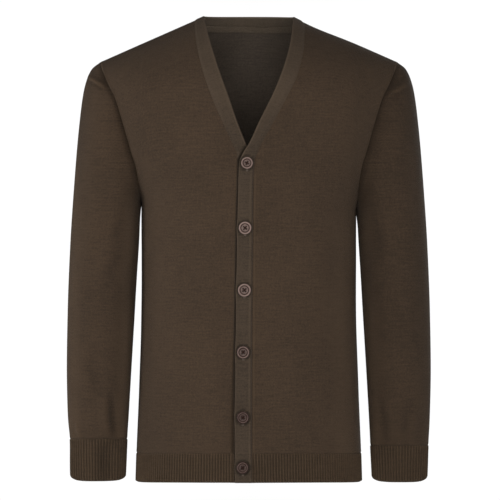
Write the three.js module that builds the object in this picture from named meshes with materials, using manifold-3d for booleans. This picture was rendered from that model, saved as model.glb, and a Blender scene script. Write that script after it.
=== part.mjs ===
// A man's fine-knit v-neck cardigan, in the shape it has when worn, with no wearer in it.
// Millimetres, +Z up. The front faces -Y and +X is the wearer's left. The origin is where the wearer
// holds it: midway between the two points where the shoulder seams meet the neck.
// Body panels, ribs and bands all lie on one body surface, moved out or in along its normal.

import * as THREE from 'three';
import Module from 'manifold-3d';

const wasm = await Module();
wasm.setup();

// ---------------------------------------------------------------- driving dimensions

const SEAM_GAP = 0.3;
const PANEL_WALL = 2.0;
const BAND_WALL = 3.0;
const TAPE_WALL = 1.0;

const NECK_X = 66.5; // free edge of the neck band on the shoulder line
const NECK_SEAM_X = 81.5; // seam of the neck band on the shoulder line
const SHOULDER_X = 222.5; // top of the armhole
const NECK_TOP_Z = 0.2;
const SHOULDER_SLOPE = 0.44; // fall of the shoulder seam for each mm out
const NECK_ROUNDING = 110; // height over which the body rounds over the shoulder, at the neck
const TIP_ROUNDING = 70; // the same at the top of the armhole
const BODY_SQUARENESS = 2.5; // exponent of the body's section
const SLEEVE_SQUARENESS = 2.25; // exponent of a sleeve's section

const ARMPIT_Z = -290;
const UNDERARM_FROM_Z = -218; // the armhole seam starts to fold under the arm here
const V_CORNER_Z = -209; // where each band's seam turns from the V to the placket
const HEM_SIDE_Z = -696.5;
const HEM_FRONT_RISE = 3.1;
const HEM_BACK_DROP = 2;
const HEM_RIB_HEIGHT = 43.5;
const NECK_SEAM_BACK_Z = -16.5; // seam of the neck band at the centre back
const NECK_BACK_RISE = 3.3; // the band's free edge stands this much higher there than at the shoulders

const HEM_RIB_PITCH = 4.2;
const CUFF_RIB_PITCH = 4.4;
const RIB_RELIEF = 0.9;
const HEM_TUCK = 2.2; // how far the last stretch of a rib turns in
const HEM_TUCK_FROM = 0.93;
const COLUMNS_PER_INNER = 4; // outer rib columns to one column of the plain inside

const BAND_PROUD = 1.0; // the neck band stands this far off the panels
const UPPER_BAND_LEVEL = 2.2; // buttonhole band, outer face, below the V
const UNDER_BAND_LEVEL = -1.4; // button band, outer face, below the V
const LEFT_PANEL_LEVEL = 1.2; // left front where it meets the buttonhole band
const RIGHT_PANEL_LEVEL = -1.6; // right front where it meets the button band
const LEVEL_REACH = 45; // the fronts are back on the body surface this far from their bands
const LEVEL_FROM_Z = -120;
const LEVEL_TO_Z = -186;

const TAPE_TOP_Z = -9;
const TAPE_HEIGHT = 9.2;
const TAPE_CLEARANCE = 1.0;

const BUTTON_RADIUS = 9;
const BUTTON_DISH = 1.0;
const BUTTON_THICKNESS = 2.9;
const BUTTON_SIDES = 20;
const BUTTON_SEAT = 0.35;
const HANGING_TILT = 12; // degrees by which the lowest button hangs forward on its thread
const HANGING_LIFT = 1.6;
const THREAD_HOLE_RADIUS = 0.95;
const THREAD_HOLE_OFFSET = 1.9;
const BUTTONHOLE = { width: 1.2, length: 20, depth: 12, drop: 2 };

// Body sections: half width across, and depth of the front and of the back from the side seams.
const BODY = [
  { z: 10, halfWidth: 245, front: 99, back: 112 },
  { z: -70, halfWidth: 240, front: 107, back: 116 },
  { z: -100, halfWidth: 231, front: 111, back: 119 },
  { z: -125, halfWidth: 222, front: 114, back: 120 },
  { z: -160, halfWidth: 208, front: 118, back: 121 },
  { z: -200, halfWidth: 191.5, front: 121.5, back: 121 },
  { z: -226, halfWidth: 180.5, front: 123, back: 120 },
  { z: -255, halfWidth: 169.5, front: 124.2, back: 118 },
  { z: -290, halfWidth: 160.8, front: 125, back: 115 },
  { z: -380, halfWidth: 160.6, front: 123, back: 108 },
  { z: -470, halfWidth: 161.6, front: 118, back: 104 },
  { z: -560, halfWidth: 164.3, front: 114, back: 105 },
  { z: -655, halfWidth: 168.2, front: 111, back: 108 },
  { z: -700, halfWidth: 169.6, front: 110, back: 108 },
];

// Armhole seam, from the shoulder tip to just above the armpit: how far out it lies, front and back.
const ARMHOLE = [
  { z: -68.5, front: 222.5, back: 222.5 },
  { z: -82, front: 219.5, back: 220.5 },
  { z: -100, front: 212.5, back: 215 },
  { z: -125, front: 200, back: 206 },
  { z: -160, front: 189, back: 195.5 },
  { z: -200, front: 177.5, back: 182 },
  { z: -226, front: 169.3, back: 172 },
  { z: -255, front: 164, back: 165 },
  { z: -290, front: 160.8, back: 160.8 },
];

// Front edges, in their own side's direction from the middle: the band's seam and its free edge.
const LEFT_EDGE = [
  { seamZ: -6.4, seamX: 81.5, freeX: 66.5, freeZ: 0.2 },
  { seamZ: -18, seamX: 83.4, freeX: 65.2, freeZ: -16 },
  { seamZ: -48, seamX: 81.6, freeX: 60.6, freeZ: -47 },
  { seamZ: -92.8, seamX: 71.5, freeX: 50, freeZ: -84 },
  { seamZ: -124.6, seamX: 56.4, freeX: 36.5, freeZ: -118 },
  { seamZ: -166.7, seamX: 33.8, freeX: 15.4, freeZ: -161 },
  { seamZ: -192, seamX: 19.8, freeX: 0, freeZ: -192 },
  { seamZ: -209, seamX: 12, freeX: -11.2, freeZ: -208.6 },
  { seamZ: -222, seamX: 7.8, freeX: -14.2, freeZ: -222 },
  { seamZ: -250, seamX: 6.2, freeX: -15.4, freeZ: -250 },
  { seamZ: -376, seamX: 5.2, freeX: -18.1, freeZ: -376 },
  { seamZ: -472, seamX: 4.4, freeX: -19.4, freeZ: -472 },
  { seamZ: -600, seamX: 4, freeX: -20.5, freeZ: -600 },
  { seamZ: -700, seamX: 5.2, freeX: -20.2, freeZ: -700 },
];
const RIGHT_EDGE = [
  { seamZ: -6.4, seamX: 81.5, freeX: 66.5, freeZ: 0.2 },
  { seamZ: -18, seamX: 80.8, freeX: 64, freeZ: -16 },
  { seamZ: -48, seamX: 76.9, freeX: 56.5, freeZ: -44 },
  { seamZ: -89.8, seamX: 66.8, freeX: 45, freeZ: -81 },
  { seamZ: -132.4, seamX: 51.7, freeX: 30, freeZ: -123 },
  { seamZ: -163.8, seamX: 38, freeX: 17.2, freeZ: -161 },
  { seamZ: -192, seamX: 25, freeX: 3.6, freeZ: -192 },
  { seamZ: -209, seamX: 17.8, freeX: -1.5, freeZ: -208.6 },
  { seamZ: -222, seamX: 17.2, freeX: -3.6, freeZ: -222 },
  { seamZ: -250, seamX: 18.2, freeX: -4, freeZ: -250 },
  { seamZ: -376, seamX: 20.9, freeX: -3.4, freeZ: -376 },
  { seamZ: -472, seamX: 22.4, freeX: -3, freeZ: -472 },
  { seamZ: -700, seamX: 22.2, freeX: -3, freeZ: -700 },
];

// Sleeve sections, from the armhole (0) to the cuff seam (1) and the cuff's end (1.1). Each is a ring
// from its outer point to its inner one, with its half depth and how far forward its middle lies.
const CUFF_END = 1.1;
const SLEEVE = [
  { at: 0, outX: 222.5, outZ: -68.5, inX: 160.8, inZ: -290, depth: 62, forward: 0 },
  { at: 0.05, outX: 236, outZ: -80, inX: 161.6, inZ: -295, depth: 65, forward: 0 },
  { at: 0.12, outX: 247, outZ: -110, inX: 162.3, inZ: -301, depth: 67, forward: 0 },
  { at: 0.22, outX: 254.5, outZ: -166, inX: 163.2, inZ: -311, depth: 68, forward: 0 },
  { at: 0.34, outX: 261.5, outZ: -248, inX: 164.3, inZ: -334, depth: 67, forward: 0 },
  { at: 0.48, outX: 267.8, outZ: -345, inX: 167.4, inZ: -386, depth: 64, forward: 1 },
  { at: 0.62, outX: 271.4, outZ: -440, inX: 171.3, inZ: -452, depth: 58, forward: 4 },
  { at: 0.76, outX: 272.6, outZ: -525, inX: 175.7, inZ: -527, depth: 49, forward: 8 },
  { at: 0.9, outX: 271, outZ: -600, inX: 179.8, inZ: -600, depth: 38, forward: 12 },
  { at: 1, outX: 269.5, outZ: -638, inX: 181.8, inZ: -638, depth: 30, forward: 14 },
  { at: 1.1, outX: 266.8, outZ: -696.5, inX: 184.4, inZ: -696.5, depth: 24.5, forward: 16 },
];

// Largest folds of the sleeves. Turn is the angle round the arm: 0 outside, 90 front, 180 inside, 270
// back. Side is +1 for the wearer's left sleeve. Depth is negative for a ridge.
const SLEEVE_FOLDS = [
  { side: -1, turn: 117, spread: 24, from: 0.8, to: 1.35, depth: 4.2 },
  { side: -1, turn: 250, spread: 30, from: 0.55, to: 1.05, depth: 3.4 },
  { side: -1, turn: 150, spread: 30, from: 0.36, to: 0.66, depth: 2.2 },
  { side: 1, turn: 122, spread: 26, from: 0.9, to: 1.3, depth: 2.6 },
  { side: 1, turn: 290, spread: 30, from: 0.5, to: 1.0, depth: 3.2 },
  { side: 1, turn: 152, spread: 28, from: 0.34, to: 0.62, depth: 2.4 },
];

// Button centres on the placket, from the top down.
const BUTTONS = [
  { x: -2.6, z: -222.5 },
  { x: -5.4, z: -317.7 },
  { x: -6.4, z: -408.9 },
  { x: -8.2, z: -500.5 },
  { x: -8.6, z: -596.7 },
  { x: -8.7, z: -670.9 },
];

// Mesh densities.
const ARMHOLE_ROWS = 12;
const V_ROWS = 9;
const LOWER_ROWS = 8;
const ROW_EASE = 1.4;
const FRONT_COLUMNS = 8;
const SHOULDER_COLUMNS = 6;
const NECK_COLUMNS = 12;
const SLEEVE_ROWS = 16;
const SLEEVE_EASE = 1.5;

const ARMHOLE_HOLD = 0.14; // the sleeve follows the armhole's own line over this part of its length

const panelRows = ARMHOLE_ROWS + LOWER_ROWS;

// ---------------------------------------------------------------- small helpers

const lerp = THREE.MathUtils.lerp;
const clamp = THREE.MathUtils.clamp;
const smoothstep = THREE.MathUtils.smoothstep;

function range(count) {
  return Array.from({ length: count }, (_, i) => i);
}

// Reads one column of a table at a value of its key column, with a curve that never overshoots.
function along(table, key, at, column) {
  const rising = table[1][key] > table[0][key];
  let i = table.findIndex((row) => (rising ? row[key] > at : row[key] < at)) - 1;
  if (i === -2) {
    i = table.length - 2;
  }
  i = clamp(i, 0, table.length - 2);
  const slope = (k) => (table[k + 1][column] - table[k][column]) / (table[k + 1][key] - table[k][key]);
  const tangent = (k) => {
    if (k === 0 || k === table.length - 1) {
      return slope(Math.min(k, table.length - 2));
    }
    const before = slope(k - 1);
    const after = slope(k);
    return before * after > 0 ? (2 * before * after) / (before + after) : 0;
  };
  const span = table[i + 1][key] - table[i][key];
  const t = clamp((at - table[i][key]) / span, 0, 1);
  const start = (1 + 2 * t) * (1 - t) ** 2 * table[i][column] + t * (1 - t) ** 2 * span * tangent(i);
  const end = t * t * (3 - 2 * t) * table[i + 1][column] + t * t * (t - 1) * span * tangent(i + 1);
  return start + end;
}

// ---------------------------------------------------------------- the body surface

// Side is -1 for the front and +1 for the back. The body closes over this line, which is the shoulder
// seam beyond the neck and rounds over inside it.
function ridgeHeight(x) {
  const inNeck = Math.min((x / NECK_X) ** 2, 1);
  const rise = SHOULDER_SLOPE * NECK_X * (1 - inNeck) * (1 - inNeck / 2);
  return NECK_TOP_Z + rise - SHOULDER_SLOPE * Math.max(Math.abs(x) - NECK_X, 0);
}

// Height over which the body rounds over that line.
function roundingHeight(x) {
  const toTip = clamp((Math.abs(x) - NECK_X) / (SHOULDER_X - NECK_X), 0, 1);
  return lerp(NECK_ROUNDING, TIP_ROUNDING, toTip);
}

function halfWidth(z) {
  return along(BODY, 'z', z, 'halfWidth');
}

function bodyDepth(x, z, side) {
  const below = clamp((ridgeHeight(x) - z) / roundingHeight(x), 0, 1);
  const closing = Math.sqrt(below * (2 - below));
  const across = Math.min(Math.abs(x) / halfWidth(z), 1);
  const section = (1 - across ** BODY_SQUARENESS) ** (1 / BODY_SQUARENESS);
  return along(BODY, 'z', z, side < 0 ? 'front' : 'back') * section * closing;
}

function bodyNormal(x, z, side) {
  const step = 0.4;
  const onSeam = bodyDepth(x, z, side) < 1e-6;
  const insideX = Math.sign(x) * Math.min(Math.abs(x), halfWidth(z) - 2 * step);
  const insideZ = Math.min(z, ridgeHeight(insideX) - 2 * step);
  const acrossX = bodyDepth(insideX + step, insideZ, side) - bodyDepth(insideX - step, insideZ, side);
  const acrossZ = bodyDepth(insideX, insideZ + step, side) - bodyDepth(insideX, insideZ - step, side);
  return new THREE.Vector3(-acrossX, onSeam ? 0 : side * 2 * step, -acrossZ).normalize();
}

// A point on the body and the normal there, with the point moved out by the lift.
function onBody(x, z, side, lift = 0) {
  const normal = bodyNormal(x, z, side);
  const point = new THREE.Vector3(x, side * bodyDepth(x, z, side), z).addScaledVector(normal, lift);
  return { point, normal };
}

// The angle round the section takes even steps round its corners, where x alone does not.
function angleOf(x, z) {
  return Math.sign(x) * Math.asin(Math.min(Math.abs(x) / halfWidth(z), 1) ** (BODY_SQUARENESS / 2));
}

function xOf(angle, z) {
  return Math.sign(angle) * halfWidth(z) * Math.sin(Math.abs(angle)) ** (2 / BODY_SQUARENESS);
}

// Angles that cut the section at this height into even lengths.
function evenAngles(z, side, from, to, count) {
  const samples = 400;
  const angles = range(samples + 1).map((i) => lerp(from, to, i / samples));
  const places = angles.map((angle) => onBody(xOf(angle, z), z, side).point);
  const lengths = [0];
  places.slice(1).forEach((place, i) => lengths.push(lengths[i] + place.distanceTo(places[i])));
  return range(count + 1).map((i) => {
    const wanted = (lengths[samples] * i) / count;
    const k = clamp(lengths.findIndex((length) => length > wanted) - 1, 0, samples - 1);
    const part = (wanted - lengths[k]) / (lengths[k + 1] - lengths[k]);
    return i === count ? to : lerp(angles[k], angles[k + 1], part);
  });
}

function hemHeight(x, side) {
  const inward = 1 - (x / halfWidth(HEM_SIDE_Z)) ** 4;
  return HEM_SIDE_Z + (side < 0 ? HEM_FRONT_RISE : -HEM_BACK_DROP) * inward;
}

function neckSeamHeight(x) {
  const rise = ridgeHeight(NECK_SEAM_X) - NECK_SEAM_BACK_Z;
  return NECK_SEAM_BACK_Z + rise * (Math.abs(x) / NECK_SEAM_X) ** 4;
}

// ---------------------------------------------------------------- closed walls from grids

// Unit direction in the surface, square to an edge, towards the piece's own inside.
function intoPiece(corner, ahead, behind, inner) {
  const tangent = ahead.point.clone().sub(behind.point);
  const inward = new THREE.Vector3().crossVectors(tangent, corner.normal).normalize();
  const towards = inner.point.clone().sub(corner.point);
  return inward.dot(towards) < 0 ? inward.negate() : inward;
}

// Pulls the edges of a grid in by half a seam gap, so that neighbours stay a gap apart.
function insetEdges(grid, edges, wrapped) {
  const last = grid.length - 1;
  const end = grid[0].length - 1;
  const moves = [];
  const move = (j, i, ahead, behind, inner) => {
    moves.push({ cell: grid[j][i], by: intoPiece(grid[j][i], ahead, behind, inner) });
  };
  range(end + 1).forEach((i) => {
    const next = wrapped ? (i + 1) % (end + 1) : Math.min(i + 1, end);
    const before = wrapped ? (i + end) % (end + 1) : Math.max(i - 1, 0);
    if (edges.top) {
      move(0, i, grid[0][next], grid[0][before], grid[1][i]);
    }
    if (edges.bottom) {
      move(last, i, grid[last][next], grid[last][before], grid[last - 1][i]);
    }
  });
  range(last + 1).forEach((j) => {
    const below = Math.min(j + 1, last);
    const above = Math.max(j - 1, 0);
    if (edges.left) {
      move(j, 0, grid[below][0], grid[above][0], grid[j][1]);
    }
    if (edges.right) {
      move(j, end, grid[below][end], grid[above][end], grid[j][end - 1]);
    }
  });
  moves.forEach(({ cell, by }) => cell.point.addScaledVector(by, SEAM_GAP / 2));
}

// Turns a triangle list the right way out and makes it a geometry.
function closedGeometry(points, triangles) {
  const volume = triangles.reduce((sum, [a, b, c]) => {
    const normal = new THREE.Vector3().crossVectors(points[b], points[c]);
    return sum + points[a].dot(normal);
  }, 0);
  const facing = volume < 0 ? triangles.map(([a, b, c]) => [a, c, b]) : triangles;
  const geometry = new THREE.BufferGeometry().setFromPoints(points);
  geometry.setIndex(facing.flat());
  geometry.computeVertexNormals();
  return geometry;
}

// Joins an outer and an inner grid of points into one closed wall. The outer grid may have several
// columns to each inner one, as a rib has.
function closeWall(outer, inner, wrapped) {
  const ratio = wrapped
    ? outer[0].length / inner[0].length
    : (outer[0].length - 1) / (inner[0].length - 1);
  const points = [...outer.flat(), ...inner.flat()];
  const outerAt = (j, i) => j * outer[0].length + (i % outer[0].length);
  const innerAt = (j, i) => outer.length * outer[0].length + j * inner[0].length + (i % inner[0].length);
  const triangles = [];
  const quad = (a, b, c, d) => triangles.push([a, b, c], [a, c, d]);
  const rows = outer.length - 1;
  const outerColumns = wrapped ? outer[0].length : outer[0].length - 1;
  const innerColumns = outerColumns / ratio;
  range(rows).forEach((j) => {
    range(outerColumns).forEach((i) => {
      quad(outerAt(j, i), outerAt(j, i + 1), outerAt(j + 1, i + 1), outerAt(j + 1, i));
    });
    range(innerColumns).forEach((i) => {
      quad(innerAt(j, i), innerAt(j + 1, i), innerAt(j + 1, i + 1), innerAt(j, i + 1));
    });
  });
  const rim = (j, flip) => {
    const add = (a, b, c) => triangles.push(flip ? [a, c, b] : [a, b, c]);
    range(innerColumns).forEach((k) => {
      range(ratio).forEach((m) => {
        const near = m < ratio / 2 ? k : k + 1;
        add(outerAt(j, k * ratio + m), innerAt(j, near), outerAt(j, k * ratio + m + 1));
      });
      add(outerAt(j, k * ratio + Math.ceil(ratio / 2)), innerAt(j, k), innerAt(j, k + 1));
    });
  };
  rim(0, false);
  rim(rows, true);
  if (!wrapped) {
    range(rows).forEach((j) => {
      quad(outerAt(j, 0), outerAt(j + 1, 0), innerAt(j + 1, 0), innerAt(j, 0));
      const o = outerColumns;
      const n = innerColumns;
      quad(outerAt(j, o), innerAt(j, n), innerAt(j + 1, n), outerAt(j + 1, o));
    });
  }
  return closedGeometry(points, triangles);
}

// A plain wall: the grid is its outer face, and its inner face lies behind by the thickness, less
// what the outer face drops by where its edge is rounded.
function plainWall(grid, thickness, edges, wrapped = false) {
  insetEdges(grid, edges, wrapped);
  const outer = grid.map((row) => row.map((cell) => cell.point));
  const inner = grid.map((row) => row.map((cell) =>
    cell.point.clone().addScaledVector(cell.normal, (cell.drop ?? 0) - thickness)));
  return closeWall(outer, inner, wrapped);
}

// A ribbed wall: every second column of the outer face stands proud, and the inside is plain.
function ribbedWall(grid, thickness, edges, wrapped = false) {
  insetEdges(grid, edges, wrapped);
  const relief = (i) => (i % 2 === 0 ? -RIB_RELIEF / 2 : RIB_RELIEF / 2);
  const outer = grid.map((row) =>
    row.map((cell, i) => cell.point.clone().addScaledVector(cell.normal, relief(i))));
  const kept = (row) => row.filter((_, i) => i % COLUMNS_PER_INNER === 0);
  const inner = grid.map((row) =>
    kept(row).map((cell) => cell.point.clone().addScaledVector(cell.normal, -thickness)));
  return closeWall(outer, inner, wrapped);
}

// ---------------------------------------------------------------- rows shared by neighbours

function edgeTable(across) {
  return across > 0 ? LEFT_EDGE : RIGHT_EDGE;
}

const tipZ = ridgeHeight(SHOULDER_X);
const sideRibTop = HEM_SIDE_Z + HEM_RIB_HEIGHT;

// Heights of the panel rows at the side edge: armhole first, then the side seam.
const sideRows = range(panelRows + 1).map((j) => (j <= ARMHOLE_ROWS
  ? lerp(tipZ, ARMPIT_Z, (j / ARMHOLE_ROWS) ** ROW_EASE)
  : lerp(ARMPIT_Z, sideRibTop, (j - ARMHOLE_ROWS) / LOWER_ROWS)));

// Heights of the same rows at the front edge: the V first, then the placket.
function edgeRows(across) {
  const top = ridgeHeight(NECK_SEAM_X);
  const bottom = hemHeight(across * edgeX(across, HEM_SIDE_Z), -1) + HEM_RIB_HEIGHT;
  return sideRows.map((z, j) => {
    if (j <= V_ROWS) {
      return lerp(top, V_CORNER_Z, (j / V_ROWS) ** ROW_EASE);
    }
    const done = (sideRows[V_ROWS] - z) / (sideRows[V_ROWS] - sideRibTop);
    return lerp(V_CORNER_Z, bottom, done);
  });
}

function edgeX(across, seamZ) {
  return along(edgeTable(across), 'seamZ', seamZ, 'seamX');
}

// How far below the V a height is, from 0 in the V to 1 on the placket.
function placketShare(z) {
  return 1 - smoothstep(z, LEVEL_TO_Z, LEVEL_FROM_Z);
}

function frontLevel(across, x, z) {
  const level = across > 0 ? LEFT_PANEL_LEVEL : RIGHT_PANEL_LEVEL;
  const away = Math.abs(x - across * edgeX(across, z));
  return level * placketShare(z) * (1 - smoothstep(away, 0, LEVEL_REACH));
}

function bandLevel(across, z) {
  return lerp(BAND_PROUD, across > 0 ? UPPER_BAND_LEVEL : UNDER_BAND_LEVEL, placketShare(z));
}

function sideX(j, side) {
  if (j >= ARMHOLE_ROWS) {
    return halfWidth(sideRows[j]);
  }
  return along(ARMHOLE, 'z', sideRows[j], side < 0 ? 'front' : 'back');
}

// ---------------------------------------------------------------- body panels

// Grid of one front, from its band's seam to the armhole and side seam.
function frontGrid(across) {
  const heights = edgeRows(across);
  const topZ = ridgeHeight(NECK_SEAM_X);
  const startTop = angleOf(NECK_SEAM_X, topZ);
  const endTop = angleOf(SHOULDER_X, tipZ);
  return range(panelRows + 1).map((j) => {
    const down = j / panelRows;
    const edge = edgeX(across, heights[j]);
    const from = angleOf(edge, heights[j]);
    const to = angleOf(sideX(j, -1), sideRows[j]);
    return range(FRONT_COLUMNS + 1).map((i) => {
      const u = i / FRONT_COLUMNS;
      const ridgeAngle = angleOf(lerp(NECK_SEAM_X, SHOULDER_X, u), lerp(topZ, tipZ, u));
      const ridgeShare = (ridgeAngle - startTop) / (endTop - startTop);
      const share = lerp(ridgeShare, u, smoothstep(down, 0, 0.6));
      const straight = lerp(heights[j], sideRows[j], u);
      const ribTop = hemHeight(xOf(lerp(from, to, share), straight), -1) + HEM_RIB_HEIGHT;
      const z = straight + (ribTop - lerp(heights[panelRows], sideRows[panelRows], u)) * down ** 4;
      const x = i === 0 ? edge : xOf(lerp(from, to, share), z);
      if (j === 0) {
        return onBody(across * lerp(NECK_SEAM_X, SHOULDER_X, u), straight, -1);
      }
      return onBody(across * x, z, -1, frontLevel(across, across * x, z));
    });
  });
}

// Across the top of the back: armhole tip, shoulder seam, neck seam and the same again.
function backTop() {
  const shoulder = range(SHOULDER_COLUMNS).map((i) => {
    const x = lerp(SHOULDER_X, NECK_SEAM_X, i / SHOULDER_COLUMNS);
    return { x, z: ridgeHeight(x) };
  });
  const neck = range(NECK_COLUMNS + 1).map((i) => {
    const x = NECK_SEAM_X * Math.sin(Math.PI * (0.5 - i / NECK_COLUMNS));
    return { x, z: neckSeamHeight(x) };
  });
  const mirrored = shoulder.map(({ x, z }) => ({ x: -x, z })).reverse();
  return [...shoulder, ...neck, ...mirrored];
}

function backGrid() {
  const top = backTop();
  const columns = top.length - 1;
  const topSide = angleOf(SHOULDER_X, tipZ);
  return range(panelRows + 1).map((j) => {
    const down = j / panelRows;
    const fallen = (sideRows[0] - sideRows[j]) / (sideRows[0] - sideRibTop);
    const to = angleOf(sideX(j, 1), sideRows[j]);
    return top.map((start, i) => {
      if (j === 0) {
        return onBody(start.x, start.z, 1);
      }
      const startShare = angleOf(start.x, start.z) / topSide;
      const share = lerp(startShare, 1 - (2 * i) / columns, smoothstep(down, 0, 0.6));
      const xBelow = xOf(to * share, sideRows[j]);
      const z = lerp(start.z, hemHeight(xBelow, 1) + HEM_RIB_HEIGHT, fallen);
      const atSide = i === 0 || i === columns;
      const sideSign = i === 0 ? 1 : -1;
      return onBody(atSide ? sideSign * sideX(j, 1) : xOf(to * share, z), z, 1);
    });
  });
}

// ---------------------------------------------------------------- sleeves

// Squareness corrected ellipse: the unit ring that every sleeve section is scaled from.
function ringPoint(turn) {
  const power = 2 / SLEEVE_SQUARENESS;
  return {
    out: Math.sign(Math.cos(turn)) * Math.abs(Math.cos(turn)) ** power,
    front: Math.sign(Math.sin(turn)) * Math.abs(Math.sin(turn)) ** power,
  };
}

function foldDepth(across, turn, at) {
  return SLEEVE_FOLDS.filter((fold) => fold.side === across).reduce((sum, fold) => {
    const apart = THREE.MathUtils.radToDeg(turn) - fold.turn;
    const off = THREE.MathUtils.euclideanModulo(apart + 180, 360) - 180;
    const length = clamp((at - fold.from) / (fold.to - fold.from), 0, 1);
    const fade = Math.sin(Math.PI * length) ** 2;
    return sum + fold.depth * fade * Math.exp(-((off / fold.spread) ** 2) * 2);
  }, 0);
}

// A point of the sleeve or its cuff, by the turn round the arm and the place along it.
function sleevePoint(across, turn, at) {
  const value = (column) => along(SLEEVE, 'at', at, column);
  const out = new THREE.Vector3(value('outX'), 0, value('outZ'));
  const inn = new THREE.Vector3(value('inX'), 0, value('inZ'));
  const middle = out.clone().add(inn).multiplyScalar(0.5);
  const outward = out.clone().sub(middle);
  const ring = ringPoint(turn);
  const keep = 1 - foldDepth(across, turn, at) / outward.length();
  const point = middle.addScaledVector(outward, ring.out * keep);
  point.y = -ring.front * value('depth') * keep - value('forward');
  point.x *= across;
  return point;
}

// The armhole's loop, shoulder tip first, then down the front and up the back.
function armholeLoop(across, front, back) {
  const backColumn = across > 0 ? 0 : back[0].length - 1;
  const down = range(ARMHOLE_ROWS + 1).map((j) => front[j][FRONT_COLUMNS]);
  const up = range(ARMHOLE_ROWS - 1).map((j) => back[ARMHOLE_ROWS - 1 - j][backColumn]);
  return [...down, ...up];
}

// Where each of the loop's points sits on the unit ring.
function loopTurns(across, loop) {
  const out = new THREE.Vector3(SLEEVE[0].outX, 0, SLEEVE[0].outZ);
  const inn = new THREE.Vector3(SLEEVE[0].inX, 0, SLEEVE[0].inZ);
  const middle = out.clone().add(inn).multiplyScalar(0.5);
  const outward = out.clone().sub(middle);
  return loop.map((cell, k) => {
    const place = new THREE.Vector3(across * cell.point.x, 0, cell.point.z).sub(middle);
    const share = clamp(place.dot(outward) / outward.lengthSq(), -1, 1);
    const turn = Math.acos(Math.sign(share) * Math.abs(share) ** (SLEEVE_SQUARENESS / 2));
    return k <= ARMHOLE_ROWS ? turn : 2 * Math.PI - turn;
  });
}

function gridNormal(grid, j, i) {
  const count = grid[0].length;
  const around = grid[j][(i + 1) % count].clone().sub(grid[j][(i + count - 1) % count]);
  const down = grid[Math.min(j + 1, grid.length - 1)][i].clone().sub(grid[Math.max(j - 1, 0)][i]);
  return new THREE.Vector3().crossVectors(around, down).normalize();
}

function sleeveGrid(across, loop) {
  const turns = loopTurns(across, loop);
  const count = loop.length;
  const points = range(SLEEVE_ROWS + 1).map((j) => {
    const at = (j / SLEEVE_ROWS) ** SLEEVE_EASE;
    const even = smoothstep(at, 0, 0.35);
    const hold = (1 - clamp(at / ARMHOLE_HOLD, 0, 1)) ** 2;
    return loop.map((cell, k) => {
      const turn = lerp(turns[k], (2 * Math.PI * k) / count, even);
      const ring = sleevePoint(across, turn, at);
      const stray = cell.point.clone().sub(sleevePoint(across, turns[k], 0));
      return ring.addScaledVector(stray, hold);
    });
  });
  return points.map((row, j) => row.map((point, i) => {
    const normal = gridNormal(points, j, i).multiplyScalar(across);
    if (j === SLEEVE_ROWS) {
      normal.setZ(0).normalize();
    }
    return { point, normal };
  }));
}

// The panel and the sleeve share one normal at the armhole. Under the arm the cloth folds back on
// itself, so there it faces straight down.
function shareArmholeNormals(loop, sleeve) {
  loop.forEach((cell, k) => {
    const low = 1 - smoothstep(cell.point.z, ARMPIT_Z, UNDERARM_FROM_Z);
    const shared = cell.normal.clone().add(sleeve[0][k].normal);
    shared.addScaledVector(new THREE.Vector3(0, 0, -1), low);
    if (k === ARMHOLE_ROWS) {
      shared.set(0, 0, -1);
    }
    if (k === 0) {
      shared.setY(0);
    }
    shared.normalize();
    cell.normal.copy(shared);
    sleeve[0][k].normal.copy(shared);
  });
}

// A cuff's grid: even columns round the sleeve's section, from the cuff seam to its end.
function cuffGrid(across) {
  const samples = 360;
  const middleAt = (1 + CUFF_END) / 2;
  const turns = range(samples + 1).map((i) => (2 * Math.PI * i) / samples);
  const places = turns.map((turn) => sleevePoint(across, turn, middleAt));
  const lengths = [0];
  places.slice(1).forEach((place, i) => lengths.push(lengths[i] + place.distanceTo(places[i])));
  const ribs = 2 * Math.round(lengths[samples] / CUFF_RIB_PITCH / 2);
  const columns = 2 * ribs;
  const even = range(columns).map((i) => {
    const wanted = (lengths[samples] * i) / columns;
    const k = Math.max(lengths.findIndex((length) => length > wanted) - 1, 0);
    return lerp(turns[k], turns[k + 1], (wanted - lengths[k]) / (lengths[k + 1] - lengths[k]));
  });
  const shares = [0, HEM_TUCK_FROM, 1];
  const points = shares.map((share) => even.map((turn) =>
    sleevePoint(across, turn, lerp(1, CUFF_END, share))));
  return points.map((row, j) => row.map((point, i) => {
    const normal = gridNormal(points, j, i).multiplyScalar(across).setZ(0).normalize();
    return { point: point.clone().addScaledVector(normal, j === 2 ? -HEM_TUCK : 0), normal };
  }));
}

// ---------------------------------------------------------------- hem ribs

// Grid of a hem rib between two angles round the hem.
function hemRibGrid(side, fromX, toX, level) {
  const middle = HEM_SIDE_Z + HEM_RIB_HEIGHT / 2;
  const from = angleOf(fromX, middle);
  const to = angleOf(toX, middle);
  const probe = evenAngles(middle, side, from, to, 60).map((angle) =>
    onBody(xOf(angle, middle), middle, side).point);
  const length = probe.slice(1).reduce((sum, point, i) => sum + point.distanceTo(probe[i]), 0);
  const ribs = 2 * Math.round(length / HEM_RIB_PITCH / 2);
  const angles = evenAngles(middle, side, from, to, 2 * ribs);
  return [0, HEM_TUCK_FROM, 1].map((share) => angles.map((angle, i) => {
    const guess = xOf(angle, middle);
    const z = hemHeight(guess, side) + HEM_RIB_HEIGHT * (1 - share);
    const atEdge = side < 0 && (i === 0 || i === angles.length - 1) && Math.abs(guess) < NECK_X;
    const x = atEdge ? Math.sign(guess) * edgeX(Math.sign(level), z) : xOf(angle, z);
    const lift = level === 0 ? 0 : frontLevel(level, x, z);
    return onBody(x, z, side, lift - (share === 1 ? HEM_TUCK : 0));
  }));
}

// ---------------------------------------------------------------- bands and tape

// Across the band: a rounded fold at the free edge and a pressed-down seam.
const BAND_PROFILE = [
  { across: 0, drop: 0.6 },
  { across: 0.12, drop: 0 },
  { across: 0.88, drop: 0 },
  { across: 1, drop: 0.9 },
];

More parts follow.
